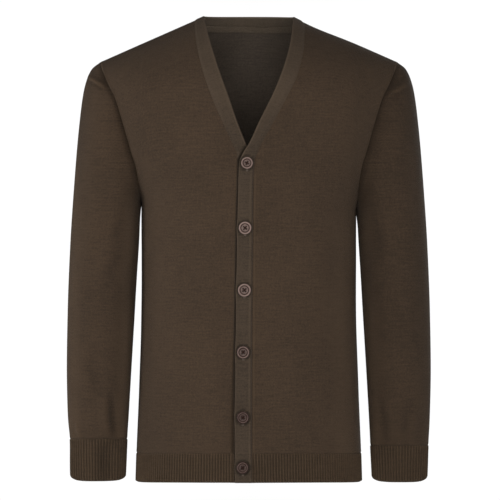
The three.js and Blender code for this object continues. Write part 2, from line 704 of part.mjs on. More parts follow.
function frontBandGrid(across) {
  const table = edgeTable(across);
  const heights = [...edgeRows(across), hemHeight(across * edgeX(across, HEM_SIDE_Z), -1)];
  return heights.map((seamZ, j) => {
    const freeX = along(table, 'seamZ', seamZ, 'freeX');
    const freeZ = along(table, 'seamZ', seamZ, 'freeZ');
    return BAND_PROFILE.map((place) => {
      const x = lerp(edgeX(across, seamZ), freeX, place.across);
      const z = lerp(seamZ, freeZ, place.across);
      const height = j === 0 ? ridgeHeight(x) : z;
      const cell = onBody(across * x, height, -1, bandLevel(across, height) - place.drop);
      return { ...cell, drop: place.drop };
    });
  });
}

function backBandGrid() {
  return range(NECK_COLUMNS + 1).map((i) => {
    const share = Math.sin(Math.PI * (i / NECK_COLUMNS - 0.5));
    const seamX = NECK_SEAM_X * share;
    const freeX = NECK_X * share;
    return BAND_PROFILE.map((place) => {
      const x = lerp(seamX, freeX, place.across);
      const atEnd = i === 0 || i === NECK_COLUMNS;
      const freeZ = NECK_TOP_Z + NECK_BACK_RISE * (1 - share ** 2);
      const z = lerp(neckSeamHeight(seamX), freeZ, place.across);
      const cell = onBody(x, atEnd ? ridgeHeight(x) : z, 1, BAND_PROUD - place.drop);
      return { ...cell, drop: place.drop };
    });
  });
}

// A narrow tape inside the back neck covers the band's seam, and stops short of the shoulders.
function neckTapeGrid() {
  const level = BAND_PROUD - BAND_WALL - TAPE_CLEARANCE;
  return [0, 1].map((share) => range(NECK_COLUMNS - 3).map((i) => {
    const x = NECK_SEAM_X * Math.sin(Math.PI * ((i + 2) / NECK_COLUMNS - 0.5));
    return onBody(x, TAPE_TOP_Z - share * TAPE_HEIGHT, 1, level);
  }));
}

// ---------------------------------------------------------------- buttons

function toManifold(geometry) {
  const bare = geometry.index ? geometry : mergeByPlace(geometry);
  return new wasm.Manifold(new wasm.Mesh({
    numProp: 3,
    vertProperties: new Float32Array(bare.attributes.position.array),
    triVerts: new Uint32Array(bare.index.array),
  }));
}

function fromManifold(solid) {
  const mesh = solid.getMesh();
  const geometry = new THREE.BufferGeometry();
  geometry.setAttribute('position', new THREE.BufferAttribute(mesh.vertProperties, 3));
  geometry.setIndex(new THREE.BufferAttribute(mesh.triVerts, 1));
  geometry.computeVertexNormals();
  return geometry;
}

// Gives vertices that lie in one place one number, and drops the flat triangles at a lathe's poles.
function mergeByPlace(geometry) {
  const bare = geometry.toNonIndexed();
  const position = bare.attributes.position;
  const numbers = new Map();
  const points = [];
  const numberOf = (i) => {
    const point = new THREE.Vector3().fromBufferAttribute(position, i);
    const key = point.toArray().map((value) => Math.round(value * 1e4)).join();
    if (!numbers.has(key)) {
      numbers.set(key, points.length);
      points.push(point);
    }
    return numbers.get(key);
  };
  const triangles = range(position.count / 3).map((t) => [0, 1, 2].map((k) => numberOf(3 * t + k)));
  const whole = triangles.filter(([a, b, c]) => a !== b && b !== c && a !== c);
  return closedGeometry(points, whole);
}

// A dished button with a raised rim and four thread holes, its back on z = 0.
function buttonGeometry() {
  const rim = BUTTON_RADIUS;
  const dish = BUTTON_THICKNESS - BUTTON_DISH;
  const profile = [
    [0, 0], [rim - 1.6, 0], [rim, 1], [rim, BUTTON_THICKNESS - 0.9], [rim - 0.8, BUTTON_THICKNESS],
    [rim - 2.1, BUTTON_THICKNESS], [rim - 3, dish], [0, dish],
  ].map(([radius, height]) => new THREE.Vector2(radius, height));
  const blank = mergeByPlace(new THREE.LatheGeometry(profile, BUTTON_SIDES).rotateX(Math.PI / 2));
  const drill = new THREE.CylinderGeometry(THREAD_HOLE_RADIUS, THREAD_HOLE_RADIUS, 3 * BUTTON_THICKNESS, 7);
  drill.rotateX(Math.PI / 2);
  const holes = [[-1, -1], [-1, 1], [1, -1], [1, 1]].map(([x, y]) =>
    toManifold(mergeByPlace(drill.clone().translate(x * THREAD_HOLE_OFFSET, y * THREAD_HOLE_OFFSET, 0))));
  return fromManifold(holes.reduce((solid, hole) => solid.subtract(hole), toManifold(blank)));
}

// Cuts the upright buttonholes through the buttonhole band.
function cutButtonholes(geometry) {
  const { width, length, depth, drop } = BUTTONHOLE;
  const cuts = BUTTONS.map(({ x, z }) => {
    const { point } = onBody(x, z - drop, -1);
    const reach = z - drop - length / 2 < hemHeight(x, -1) + 3 ? length - 4 : length;
    const box = new THREE.BoxGeometry(width, depth, reach);
    return toManifold(mergeByPlace(box.translate(x, point.y, z - drop)));
  });
  return fromManifold(cuts.reduce((solid, cut) => solid.subtract(cut), toManifold(geometry)));
}

// ---------------------------------------------------------------- materials

function cloth(color, roughness = 0.92) {
  return new THREE.MeshStandardMaterial({ color, roughness, metalness: 0 });
}

const jersey = cloth(0x463a2e);
const rib = cloth(0x41362b);
const band = cloth(0x4a3e32);
const tape = cloth(0x3e372f);
const resin = new THREE.MeshStandardMaterial({ color: 0x6b554a, roughness: 0.4, metalness: 0 });

// ---------------------------------------------------------------- the cardigan

const cardigan = new THREE.Group();

function addPiece(name, geometry, material) {
  const mesh = new THREE.Mesh(geometry, material);
  mesh.name = name;
  cardigan.add(mesh);
  return mesh;
}

const back = backGrid();
const sides = [
  { name: 'left', across: 1 },
  { name: 'right', across: -1 },
];

sides.forEach(({ name, across }) => {
  const front = frontGrid(across);
  const loop = armholeLoop(across, front, back);
  const sleeve = sleeveGrid(across, loop);
  shareArmholeNormals(loop, sleeve);
  const armEnds = { top: true, bottom: true };
  const allRound = { top: true, bottom: true, left: true, right: true };
  addPiece(`front_${name}`, plainWall(front, PANEL_WALL, allRound), jersey);
  addPiece(`sleeve_${name}`, plainWall(sleeve, PANEL_WALL, armEnds, true), jersey);
  addPiece(`cuff_${name}`, ribbedWall(cuffGrid(across), PANEL_WALL, { top: true }, true), rib);
  const ribEdges = { top: true, left: true, right: true };
  const hemSide = across * halfWidth(HEM_SIDE_Z);
  const hemEdge = across * edgeX(across, HEM_SIDE_Z);
  const hemRib = hemRibGrid(-1, hemEdge, hemSide, across);
  addPiece(`hem_rib_front_${name}`, ribbedWall(hemRib, PANEL_WALL, ribEdges), rib);
});

const backEdges = { top: true, bottom: true, left: true, right: true };
addPiece('back', plainWall(back, PANEL_WALL, backEdges), jersey);

const backRibEdges = { top: true, left: true, right: true };
const hemSide = halfWidth(HEM_SIDE_Z);
addPiece('hem_rib_back', ribbedWall(hemRibGrid(1, hemSide, -hemSide, 0), PANEL_WALL, backRibEdges), rib);

const bandEdges = { top: true, left: true };
const buttonholeBand = plainWall(frontBandGrid(1), BAND_WALL, bandEdges);
addPiece('band_buttonhole', cutButtonholes(buttonholeBand), band);
addPiece('band_button', plainWall(frontBandGrid(-1), BAND_WALL, bandEdges), band);
addPiece('band_back_neck', plainWall(backBandGrid(), BAND_WALL, { ...bandEdges, bottom: true }), band);
addPiece('neck_tape', plainWall(neckTapeGrid(), TAPE_WALL, {}), tape);

const button = buttonGeometry();
const tiltAxis = new THREE.Vector3(1, 0, 1).normalize();
BUTTONS.forEach(({ x, z }, i) => {
  const hanging = i === BUTTONS.length - 1;
  const lift = UPPER_BAND_LEVEL + BUTTON_SEAT + (hanging ? HANGING_LIFT : 0);
  const { point, normal } = onBody(x, z, -1, lift);
  const mesh = addPiece(`button_${i + 1}`, button, resin);
  mesh.position.copy(point);
  mesh.quaternion.setFromUnitVectors(new THREE.Vector3(0, 0, 1), normal);
  if (hanging) {
    const tilt = THREE.MathUtils.degToRad(-HANGING_TILT);
    mesh.quaternion.premultiply(new THREE.Quaternion().setFromAxisAngle(tiltAxis, tilt));
  }
});

export default cardigan;
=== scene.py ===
# %% [markdown]
# # A v-neck cardigan in fine knit
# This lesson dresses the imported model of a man's cardigan. The model gives the size and the place of
# every piece; here each plain piece of cloth gets a finer one on the same form, with its ribs, seams,
# creases and yarn. The garment hangs in its worn shape with nobody in it, so it is open at the neck,
# the hem and both cuffs.

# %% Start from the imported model
import math
import bpy
import numpy as np
from mathutils import Matrix, Vector


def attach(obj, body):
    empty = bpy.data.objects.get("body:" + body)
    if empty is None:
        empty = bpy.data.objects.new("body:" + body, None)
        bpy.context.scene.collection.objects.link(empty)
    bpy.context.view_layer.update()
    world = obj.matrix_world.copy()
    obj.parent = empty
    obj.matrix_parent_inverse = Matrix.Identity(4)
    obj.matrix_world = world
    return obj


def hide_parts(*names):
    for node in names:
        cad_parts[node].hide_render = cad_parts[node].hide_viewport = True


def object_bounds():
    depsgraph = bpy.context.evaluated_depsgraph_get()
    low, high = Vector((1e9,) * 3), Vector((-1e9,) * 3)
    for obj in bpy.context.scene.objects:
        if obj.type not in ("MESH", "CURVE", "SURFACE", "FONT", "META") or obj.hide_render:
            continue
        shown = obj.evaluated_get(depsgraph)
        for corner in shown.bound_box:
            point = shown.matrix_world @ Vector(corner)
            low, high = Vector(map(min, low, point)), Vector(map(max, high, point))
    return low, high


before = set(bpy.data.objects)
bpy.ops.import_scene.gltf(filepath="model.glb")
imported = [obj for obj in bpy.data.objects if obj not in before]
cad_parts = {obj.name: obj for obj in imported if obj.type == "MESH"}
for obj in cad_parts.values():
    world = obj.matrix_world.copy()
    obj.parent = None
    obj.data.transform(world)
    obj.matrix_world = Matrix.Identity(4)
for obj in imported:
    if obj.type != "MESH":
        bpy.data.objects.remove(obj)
cad_low, cad_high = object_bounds()
print("pieces in the model:", len(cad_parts))

# %% [markdown]
# ## Camera first
# A long lens far away flattens a garment in the way that shop pictures do, so the camera stands six
# metres off, level with the middle of the body.

# %% The camera
def put_in_scene(name, data):
    """Puts a mesh, a lamp or a camera into the scene as an object."""
    made = bpy.data.objects.new(name, data)
    bpy.context.scene.collection.objects.link(made)
    return made


camera_data = bpy.data.cameras.new("camera")
camera_data.sensor_width = 36.0
camera_data.lens = 288.0
camera = put_in_scene("camera", camera_data)
camera.location = (0.0018, -6.0, -0.35025)
camera.rotation_euler = (math.radians(90), 0, 0)
bpy.context.scene.camera = camera
print("camera at", tuple(round(value, 3) for value in camera.location))

# %% [markdown]
# ## The body surface
# Fronts, back, bands, ribs and tape all lie on one surface. It is a height over the plane of the
# shoulders: a rounded section across, which closes over the shoulder line. Short tables hold its sizes
# in millimetres, and a curve that never overshoots reads between their rows. The alternative, pushing
# a mesh about by hand, would leave neighbours that don't meet at the seams.

# %% Sizes and tables
MM = 0.001
NECK_X = 66.5
NECK_SEAM_X = 81.5
SHOULDER_X = 222.5
NECK_TOP_Z = 0.2
SHOULDER_SLOPE = 0.44
NECK_ROUNDING = 110.0
TIP_ROUNDING = 70.0
BODY_SQUARENESS = 2.5
SLEEVE_SQUARENESS = 2.25
ARMPIT_Z = -290.0
UNDERARM_FROM_Z = -218.0
V_CORNER_Z = -209.0
HEM_SIDE_Z = -696.5
HEM_FRONT_RISE = 3.1
HEM_BACK_DROP = 2.0
HEM_RIB_HEIGHT = 43.5
NECK_SEAM_BACK_Z = -16.5
NECK_BACK_RISE = 3.3
TAPE_TOP_Z = -9.0
TAPE_HEIGHT = 9.2
HEM_TUCK = 1.76
BAND_PROUD = 1.0
UPPER_BAND_LEVEL = 2.2
UNDER_BAND_LEVEL = -1.4
LEFT_PANEL_LEVEL = 1.2
RIGHT_PANEL_LEVEL = -1.6
LEVEL_REACH = 45.0
LEVEL_FROM_Z = -120.0
LEVEL_TO_Z = -186.0
CUFF_SHARE = 0.1
SIDES = (("left", 1), ("right", -1))
BANDS = (("buttonhole", 1), ("button", -1))


def table(names, rows):
    """Columns of a short table by name, in the order of its first column."""
    values = np.array(rows, float)
    values = values[np.argsort(values[:, 0])]
    return dict(zip(names.split(), values.T))


BODY = table("z half_width front back", [
    (10, 245, 99, 112), (-70, 240, 107, 116), (-100, 231, 111, 119), (-125, 222, 114, 120),
    (-160, 208, 118, 121), (-200, 191.5, 121.5, 121), (-226, 180.5, 123, 120),
    (-255, 169.5, 124.2, 118), (-290, 160.8, 125, 115), (-380, 160.6, 123, 108),
    (-470, 161.6, 118, 104), (-560, 164.3, 114, 105), (-655, 168.2, 111, 108), (-700, 169.6, 110, 108),
])
ARMHOLE = table("z front back", [
    (-68.5, 222.5, 222.5), (-82, 219.5, 220.5), (-100, 212.5, 215), (-125, 200, 206),
    (-160, 189, 195.5), (-200, 177.5, 182), (-226, 169.3, 172), (-255, 164, 165), (-290, 160.8, 160.8),
])
LEFT_EDGE = table("seam_z seam_x free_x free_z", [
    (-6.4, 81.5, 66.5, 0.2), (-18, 83.4, 65.2, -16), (-48, 81.6, 60.6, -47), (-92.8, 71.5, 50, -84),
    (-124.6, 56.4, 36.5, -118), (-166.7, 33.8, 15.4, -161), (-192, 19.8, 1.1, -192),
    (-209, 12, -8.9, -208.6), (-222, 7.8, -14.0, -222), (-250, 6.2, -15.4, -250),
    (-376, 5.2, -18.1, -376), (-472, 4.4, -19.4, -472), (-600, 4.0, -20.5, -600), (-700, 5.2, -20.2, -700),
])
RIGHT_EDGE = table("seam_z seam_x free_x free_z", [
    (-6.4, 81.5, 66.5, 0.2), (-18, 80.8, 64, -16), (-48, 76.9, 56.5, -44), (-89.8, 66.8, 45, -81),
    (-132.4, 51.7, 30, -123), (-163.8, 38, 17.2, -161), (-192, 25, 4.9, -192),
    (-209, 17.8, -1.5, -208.6), (-222, 17.2, -3.6, -222), (-250, 18.2, -4, -250),
    (-376, 20.9, -3.4, -376), (-472, 22.4, -3, -472), (-700, 22.2, -3, -700),
])
SLEEVE = table("at out_x out_z in_x in_z depth forward", [
    (0, 222.5, -68.5, 160.8, -290, 62, 0), (0.05, 236, -80, 161.6, -295, 65, 0),
    (0.12, 247, -110, 162.3, -301, 67, 0), (0.22, 254.5, -166, 163.2, -311, 68, 0),
    (0.34, 261.5, -248, 164.3, -334, 67, 0), (0.48, 267.8, -345, 167.4, -386, 64, 1),
    (0.62, 271.4, -440, 171.3, -452, 58, 4), (0.76, 272.6, -525, 175.7, -527, 49, 8),
    (0.9, 271, -600, 179.8, -600, 38, 12), (1, 269.5, -638, 181.8, -638, 30, 14),
    (1.1, 266.8, -696.5, 184.4, -696.5, 24.5, 16),
])
BUTTONS = table("z x", [
    (-222.5, -2.6), (-317.7, -5.4), (-408.9, -6.4), (-500.5, -8.2), (-596.7, -8.6), (-670.9, -8.7),
])
tables = (BODY, ARMHOLE, LEFT_EDGE, RIGHT_EDGE, SLEEVE, BUTTONS)
print("rows in the tables:", sum(len(next(iter(rows.values()))) for rows in tables))

# %% Reading the tables
def lerp(a, b, t):
    """A mix of two values: a where t is 0, b where t is 1."""
    return a + (b - a) * t


def smoothstep(value, low, high):
    """A soft step from 0 at the low value to 1 at the high one."""
    t = np.clip((value - low) / (high - low), 0, 1)
    return t * t * (3 - 2 * t)


def read(source, column, at):
    """One column of a table at any value of its first column, smooth and without overshoot."""
    keys = next(iter(source.values()))
    values = source[column]
    slopes = np.diff(values) / np.diff(keys)
    total = np.where(slopes[:-1] + slopes[1:] == 0, 1, slopes[:-1] + slopes[1:])
    inner = np.where(slopes[:-1] * slopes[1:] > 0, 2 * slopes[:-1] * slopes[1:] / total, 0)
    tangents = np.concatenate([slopes[:1], inner, slopes[-1:]])
    at = np.clip(at, keys[0], keys[-1])
    i = np.clip(np.searchsorted(keys, at, side="right") - 1, 0, len(keys) - 2)
    span = keys[i + 1] - keys[i]
    t = (at - keys[i]) / span
    start = (1 + 2 * t) * (1 - t) ** 2 * values[i] + t * (1 - t) ** 2 * span * tangents[i]
    end = t * t * (3 - 2 * t) * values[i + 1] + t * t * (t - 1) * span * tangents[i + 1]
    return start + end


print("half width at the armpit:", round(float(read(BODY, "half_width", ARMPIT_Z)), 1), "mm")


# %% The surface itself
def ridge_height(x):
    """The line that the body closes over: the shoulder seam, and a soft rise inside the neck."""
    in_neck = np.minimum((x / NECK_X) ** 2, 1)
    rise = SHOULDER_SLOPE * NECK_X * (1 - in_neck) * (1 - in_neck / 2)
    return NECK_TOP_Z + rise - SHOULDER_SLOPE * np.maximum(np.abs(x) - NECK_X, 0)


def body_depth(x, z, side):
    """Distance of the body from the plane of the shoulders; side is -1 in front, 1 behind."""
    to_tip = np.clip((np.abs(x) - NECK_X) / (SHOULDER_X - NECK_X), 0, 1)
    rounding = lerp(NECK_ROUNDING, TIP_ROUNDING, to_tip)
    below = np.clip((ridge_height(x) - z) / rounding, 0, 1)
    closing = np.sqrt(below * (2 - below))
    across = np.minimum(np.abs(x) / read(BODY, "half_width", z), 1)
    section = (1 - across ** BODY_SQUARENESS) ** (1 / BODY_SQUARENESS)
    return read(BODY, "front" if side < 0 else "back", z) * section * closing


def unit(vectors):
    """The same directions with length one."""
    return vectors / np.maximum(np.linalg.norm(vectors, axis=-1, keepdims=True), 1e-9)


def on_body(x, z, side):
    """Points on the body and the directions out of it there, in millimetres."""
    x, z = np.broadcast_arrays(np.asarray(x, float), np.asarray(z, float))
    step = 0.4
    depth = body_depth(x, z, side)
    inside_x = np.sign(x) * np.minimum(np.abs(x), read(BODY, "half_width", z) - 2 * step)
    inside_z = np.minimum(z, ridge_height(inside_x) - 2 * step)
    slope_x = body_depth(inside_x + step, inside_z, side) - body_depth(inside_x - step, inside_z, side)
    slope_z = body_depth(inside_x, inside_z + step, side) - body_depth(inside_x, inside_z - step, side)
    flat = np.where(depth < 1e-6, 0, side * 2 * step)
    return np.stack([x, side * depth, z], -1), unit(np.stack([-slope_x, flat, -slope_z], -1))


# %% Round the body and along its edges
def angle_of(x, z):
    """Where a point sits round the body: 0 in the middle, a quarter turn at the side."""
    share = np.minimum(np.abs(x) / read(BODY, "half_width", z), 1)
    return np.sign(x) * np.arcsin(share ** (BODY_SQUARENESS / 2))


def x_of(angle, z):
    """The way back: how far out an angle lies at a height."""
    return np.sign(angle) * read(BODY, "half_width", z) * np.sin(np.abs(angle)) ** (2 / BODY_SQUARENESS)


def hem_height(x, side):
    """The lower edge of the hem rises a little in front and drops a little behind."""
    inward = 1 - (x / read(BODY, "half_width", HEM_SIDE_Z)) ** 4
    return HEM_SIDE_Z + (HEM_FRONT_RISE if side < 0 else -HEM_BACK_DROP) * inward


def neck_seam_height(x):
    """The seam of the back neck band is flat in the middle and climbs to the shoulders."""
    rise = ridge_height(NECK_SEAM_X) - NECK_SEAM_BACK_Z
    return NECK_SEAM_BACK_Z + rise * (np.abs(x) / NECK_SEAM_X) ** 4


# %% [markdown]
# Nothing worn hangs quite even: here the neck, the armpit and the wrist sit a little lower on the
# wearer's left. A table for each side would double the work and could part the seams, so the even
# form is made first, and each finished point is then moved by the same rule.

# %% Settling of the two sides
def settle(points):
    """The two sides hang a little unlike at the neck, under the arms and at the wrists."""
    x, z = points[..., 0], points[..., 2]
    aside = np.abs(x)
    from_neck = x - 98
    neck = np.exp(-(from_neck / np.where(from_neck < 0, 34, 42)) ** 2)
    armpit = np.exp(-((aside - 162) / 17) ** 2) * np.exp(-((z - ARMPIT_Z) / 26) ** 2)
    wrist = smoothstep(aside, 168, 176) * np.exp(-((z + 638) / 26) ** 2)
    outer_wrist = np.clip((aside - 225) / 42, 0, 1) ** 2 * np.exp(-((z + 642) / 28) ** 2)
    moved = points.copy()
    moved[..., 2] -= 2.7 * neck * np.exp(-(np.maximum(-z - 20, 0) / 45) ** 2)
    moved[..., 2] += wrist * np.where(x < 0, 6.2, -3.4)
    moved[..., 0] += outer_wrist * np.where(x < 0, 1.8, -0.8)
    moved[..., 2] += armpit * np.where(x < 0, 7.6, -7.0)
    return moved


print("deepest point of the front:", round(float(body_depth(0.0, -300.0, -1)), 1), "mm")

# %% [markdown]
# ## Walls of cloth
# Cloth is a closed wall, an outer and an inner face joined round the rim, never a bare sheet: a sheet
# has no edge to catch the light, and light leaks through it. A wall is made from a grid of points. Its
# UV map counts millimetres of cloth across and along, so that a knitted stitch is the same size on
# every piece. A cut edge that shows is rounded, and a seam edge stays a hair from its neighbour.

# %% Grid helpers
EDGE_STEPS = np.array([0, 0.5, 1, 1.5, 2, 2.6, 3.4, 4.6, 6.4, 9])


def steps_to_edges(length, middle):
    """Shares from 0 to 1 with fine steps at the seam edges and even steps between."""
    start = EDGE_STEPS / length
    end = 1 - start[::-1]
    between = np.linspace(start[-1], end[0], middle + 2)[1:-1]
    return np.concatenate([start, between, end])


def run(points, axis):
    """Length of cloth from the first row or column to each point."""
    steps = np.linalg.norm(np.diff(points, axis=axis), axis=-1)
    lengths = np.cumsum(steps, axis=axis)
    pad = [(1, 0) if k == axis else (0, 0) for k in range(2)]
    return np.pad(lengths, pad)


def edge_distance(points):
    """How far each point lies from the grid's top, bottom, left and right edges."""
    down = run(points, 0)
    across = run(points, 1)
    return {"top": down, "bottom": down[-1:] - down, "left": across, "right": across[:, -1:] - across}


def pull_in(points, edges, gap=0.004):
    """Moves the edge points of a grid a hair into the piece."""
    moved = points.copy()
    views = {
        "top": (moved[0], points[1]), "bottom": (moved[-1], points[-2]),
        "left": (moved[:, 0], points[:, 1]), "right": (moved[:, -1], points[:, -2]),
    }
    for edge in edges:
        mine, inner = views[edge]
        mine += unit(inner - mine) * gap
    return moved


def rounding(distance, thickness):
    """How much of its thickness a wall keeps towards a rounded edge."""
    t = np.clip(distance / (0.6 * thickness), 0, 1)
    return np.maximum(np.sqrt(1 - (1 - t) ** 2), 0.18)


print("finest step at a seam:", EDGE_STEPS[1], "mm")


# %% Building a wall
def grid_faces(rows, columns, wrapped, flip):
    """Corners of a grid's faces, as (row, column) pairs."""
    j, i = np.meshgrid(np.arange(rows - 1), np.arange(columns - (0 if wrapped else 1)), indexing="ij")
    corners = [(j, i), (j, i + 1), (j + 1, i + 1), (j + 1, i)]
    corners = corners[::-1] if flip else corners
    return np.stack([np.stack([a.ravel(), b.ravel()], -1) for a, b in corners], 1)


def wall(name, points, normals, cloth_uv, thickness, lift=0.0, keep=1.0, wrapped=False, extra=None):
    """A closed wall of cloth as a Blender object. Its outer face is the grid moved out by the lift."""
    rows, columns = points.shape[:2]
    lift = np.broadcast_to(lift, (rows, columns))[..., None]
    keep = np.broadcast_to(keep, (rows, columns))[..., None]
    worn = (1 - keep) * thickness / 2
    outer = points + normals * (lift - worn)
    inner = points + normals * (lift - thickness + worn)
    vertices = settle(np.concatenate([outer.reshape(-1, 3), inner.reshape(-1, 3)])) * MM
    pairs = [grid_faces(rows, columns, wrapped, False), grid_faces(rows, columns, wrapped, True)]
    number = [p[..., 0] * columns + p[..., 1] % columns + k * rows * columns for k, p in enumerate(pairs)]
    uv_pairs = list(pairs)
    rims = []
    for j, flip in ((0, True), (rows - 1, False)):
        i = np.arange(columns - (0 if wrapped else 1))
        rims.append((np.full_like(i, j), i, np.full_like(i, j), i + 1, flip))
    if not wrapped:
        for i, flip in ((0, False), (columns - 1, True)):
            j = np.arange(rows - 1)
            rims.append((j, np.full_like(j, i), j + 1, np.full_like(j, i), flip))
    for ja, ia, jb, ib, flip in rims:
        a = ja * columns + ia % columns
        b = jb * columns + ib % columns
        far = rows * columns
        quad = np.stack([a, b, b + far, a + far], 1)
        at = np.stack([np.stack([ja, ia], -1), np.stack([jb, ib], -1),
                       np.stack([jb, ib], -1), np.stack([ja, ia], -1)], 1)
        number.append(quad[:, ::-1] if flip else quad)
        uv_pairs.append(at[:, ::-1] if flip else at)
    faces = np.concatenate(number)
    at = np.concatenate(uv_pairs)
    if mesh_volume(vertices, faces) < 0:
        faces = faces[:, ::-1]
        at = at[:, ::-1]
    mesh = bpy.data.meshes.new(name)
    mesh.from_pydata(vertices.tolist(), [], faces.tolist())
    mesh.polygons.foreach_set("use_smooth", [True] * len(faces))
    outer_faces = len(pairs[0])
    is_inner = [int(outer_faces <= k < 2 * outer_faces) for k in range(len(faces))]
    mesh.polygons.foreach_set("material_index", is_inner)
    layer = mesh.uv_layers.new(name="cloth")
    layer.data.foreach_set("uv", cloth_uv[at[..., 0], at[..., 1]].ravel())
    for label, values in (extra or {}).items():
        doubled = np.concatenate([values.reshape(rows * columns, -1)] * 2)
        kind = "FLOAT_VECTOR" if doubled.shape[1] == 3 else "FLOAT"
        attribute = mesh.attributes.new(label, kind, "POINT")
        attribute.data.foreach_set("vector" if kind == "FLOAT_VECTOR" else "value", doubled.ravel())
    mesh.update()
    print(f"{name}: {2 * len(faces)} triangles")
    return put_in_scene(name, mesh)


def mesh_volume(vertices, faces):
    """Six times the volume of a closed mesh; below nought its faces point inwards."""
    a, b, c, d = (vertices[faces[:, k]] for k in range(4))
    first = np.einsum("ij,ij->i", a, np.cross(b, c)).sum()
    second = np.einsum("ij,ij->i", a, np.cross(c, d)).sum()
    return first + second


# %% [markdown]
# ## Creases laid one by one
# Worn jersey is smooth with a few long, soft creases. A bend of noise would look like crumpled paper,
# so each crease is a row in a table: a line on the cloth, how wide and how deep it is, and how it
# fades at its ends. A trough has a faint ridge on one side, where the cloth that left it has gone.

# %% Creases
def creases(across, up, rows):
    """Total lift of the cloth, in millimetres, from a list of creases laid on it.

    A row is (x0, z0, x1, z1, bend, width, depth); a positive depth is a trough."""
    total = np.zeros(np.broadcast(across, up).shape)
    for x0, z0, x1, z1, bend, width, depth in rows:
        line = np.array([x1 - x0, z1 - z0])
        length = np.hypot(*line)
        along_line = ((across - x0) * line[0] + (up - z0) * line[1]) / length ** 2
        off = ((up - z0) * line[0] - (across - x0) * line[1]) / length
        off = off - bend * np.sin(np.pi * np.clip(along_line, 0, 1))
        fade = np.sin(np.pi * np.clip(along_line * 0.9 + 0.05, 0, 1)) ** 1.5
        fade = np.where((along_line < -0.05) | (along_line > 1.05), 0, fade)
        trough = np.exp(-(off / width) ** 2)
        shoulder = 0.4 * np.exp(-((off - 1.9 * width) / (1.2 * width)) ** 2)
        total -= depth * fade * (trough - shoulder)
    return total


one_crease = [(0, 0, 0, -100, 0, 5, 1.0)]
print("a crease 1 mm deep sinks", round(-float(creases(0.0, -50.0, one_crease)), 2), "mm at its middle")

# %% [markdown]
# ## Seams in the cloth
# A seam pulls the cloth down into a groove, and the allowance behind it lifts a low ridge on each
# side. The band seams are linked: a fine ridge runs on either side of them. At the armhole the panel
# folds over a sleeve that hangs down from it, so there the panel rolls in and the sleeve rises slowly.

# %% Seam relief
ARMHOLE_DROP = {-1: 5.6, 1: 3.0}
# Places of the painted highlights on the puckers at the corner of the V.
V_PUCKER_HIGHLIGHTS = ((13.8, -208.8), (17.6, -207.0), (-16.0, -209.6), (14.6, -221.0))


def seam(distance, groove=0.25, ridge=0.3, at=2.6, width=1.5):
    """The groove of a seam and the low ridge of its allowance."""
    return ridge * np.exp(-((distance - at) / width) ** 2) - groove * np.exp(-(distance / 0.8) ** 2)


# %% [markdown]
# A band is joined to its front by a chain of loops, which lies flat in the V and stands out as two
# firm ridges below it, with a painted highlight on them. Painted light and shade are stored on the mesh
# as a number at each point: above nought the yarn is coloured paler as a painted highlight, below it
# darker as painted shade. A painted picture could do the same, but a number at each point needs no
# picture and moves with the seam.

# %% Linked seams of the bands
def firm_seam(z):
    """The seam of a band lies flat in the V and turns firm below its corner."""
    return smoothstep(-z, 212, 242)


def linked_seam(distance, placket, at=3.2):
    """The chain of loops that joins a band: low in the V, firm ridges on the placket."""
    groove = lerp(0.05, 0.7, placket)
    ridge = lerp(0.03, 0.8, placket)
    return seam(distance, groove, ridge, at, width=0.95)


def painted_ridge_highlight(distance, placket, at=2.9):
    """The two ridges beside that seam carry a painted highlight."""
    return 0.42 * placket * np.exp(-((distance - at) / 1.2) ** 2)


def painted_pucker_highlights(x, z):
    """The corner of the V strains its seam into small puckers at both sides, which get painted highlights.
    """
    tufts = sum(np.exp(-((x - tx) ** 2 + (z - tz) ** 2) / 5.0) for tx, tz in V_PUCKER_HIGHLIGHTS)
    return 0.5 * tufts


# %% The lower front under the lap
def under_edge(x, z):
    """How far in under the free edge of the upper band a place of the lower front lies."""
    return x - read(LEFT_EDGE, "free_x", z)


def painted_lap_shade(x, z):
    """Painted shade on the lower front where the two fronts cross, under the free edge of the upper band.
    """
    off = under_edge(x, z)
    corner = smoothstep(-z, 184, 192) * (1 - smoothstep(-z, 212, 224))
    return -0.9 * corner * np.exp(-((off + 0.8) / 2.4) ** 2)


def under_lap(x, z):
    """How far the cloth sinks along the free edge of the band that laps over it."""
    off = under_edge(x, z)
    corner = smoothstep(-z, 188, 196) * (1 - smoothstep(-z, 212, 232))
    outside = lerp(1.5, 5.6, smoothstep(-z, 420, 700)) + 1.3 * corner
    width = np.where(off < 0, outside, 7.0)
    depth = 4.4 + 1.6 * (1 - smoothstep(-z, 208, 226))
    depth = depth * smoothstep(-z, 184, 196) * (1 - 0.8 * smoothstep(-z, 681, 691))
    return -depth * np.exp(-(off / width) ** 2)


# %% The armhole seam
def armhole_drop(z, side):
    """How far the armhole seam lies in below the panel, by its height."""
    shoulder = smoothstep(-z, 67, 96)
    underarm = 1 - smoothstep(-z, 234, 276)
    return ARMHOLE_DROP[side] * shoulder * underarm


def panel_at_armhole(distance, drop):
    """The panel rolls in at the armhole, behind a soft ridge."""
    roll = -drop * np.exp(-(distance / 1.7) ** 2)
    return roll + (0.12 + 0.17 * drop) * np.exp(-((distance - 3.5) / 1.9) ** 2)


print("armhole seams lie in by", ARMHOLE_DROP[-1], "mm in front and", ARMHOLE_DROP[1], "mm behind")

# %% [markdown]
# ## The cut of the panels
# The rows of the fronts and the back run from the shoulder down the armhole and the side seam, so
# that neighbours share their edges. The front edge has its own rows: the V first, then the placket.
# Rows stand closer at the shoulder and at the rib, where the cloth turns soonest. The lap needs
# levels too: the upper front lies out, the lower one lies in, and both meet at the neck.

# %% Rows shared by neighbours
TIP_Z = float(ridge_height(SHOULDER_X))
SIDE_RIB_TOP = HEM_SIDE_Z + HEM_RIB_HEIGHT
ARMHOLE_ROWS = 12
V_ROWS = 9
PANEL_ROWS = 20
ROW_EASE = 1.4


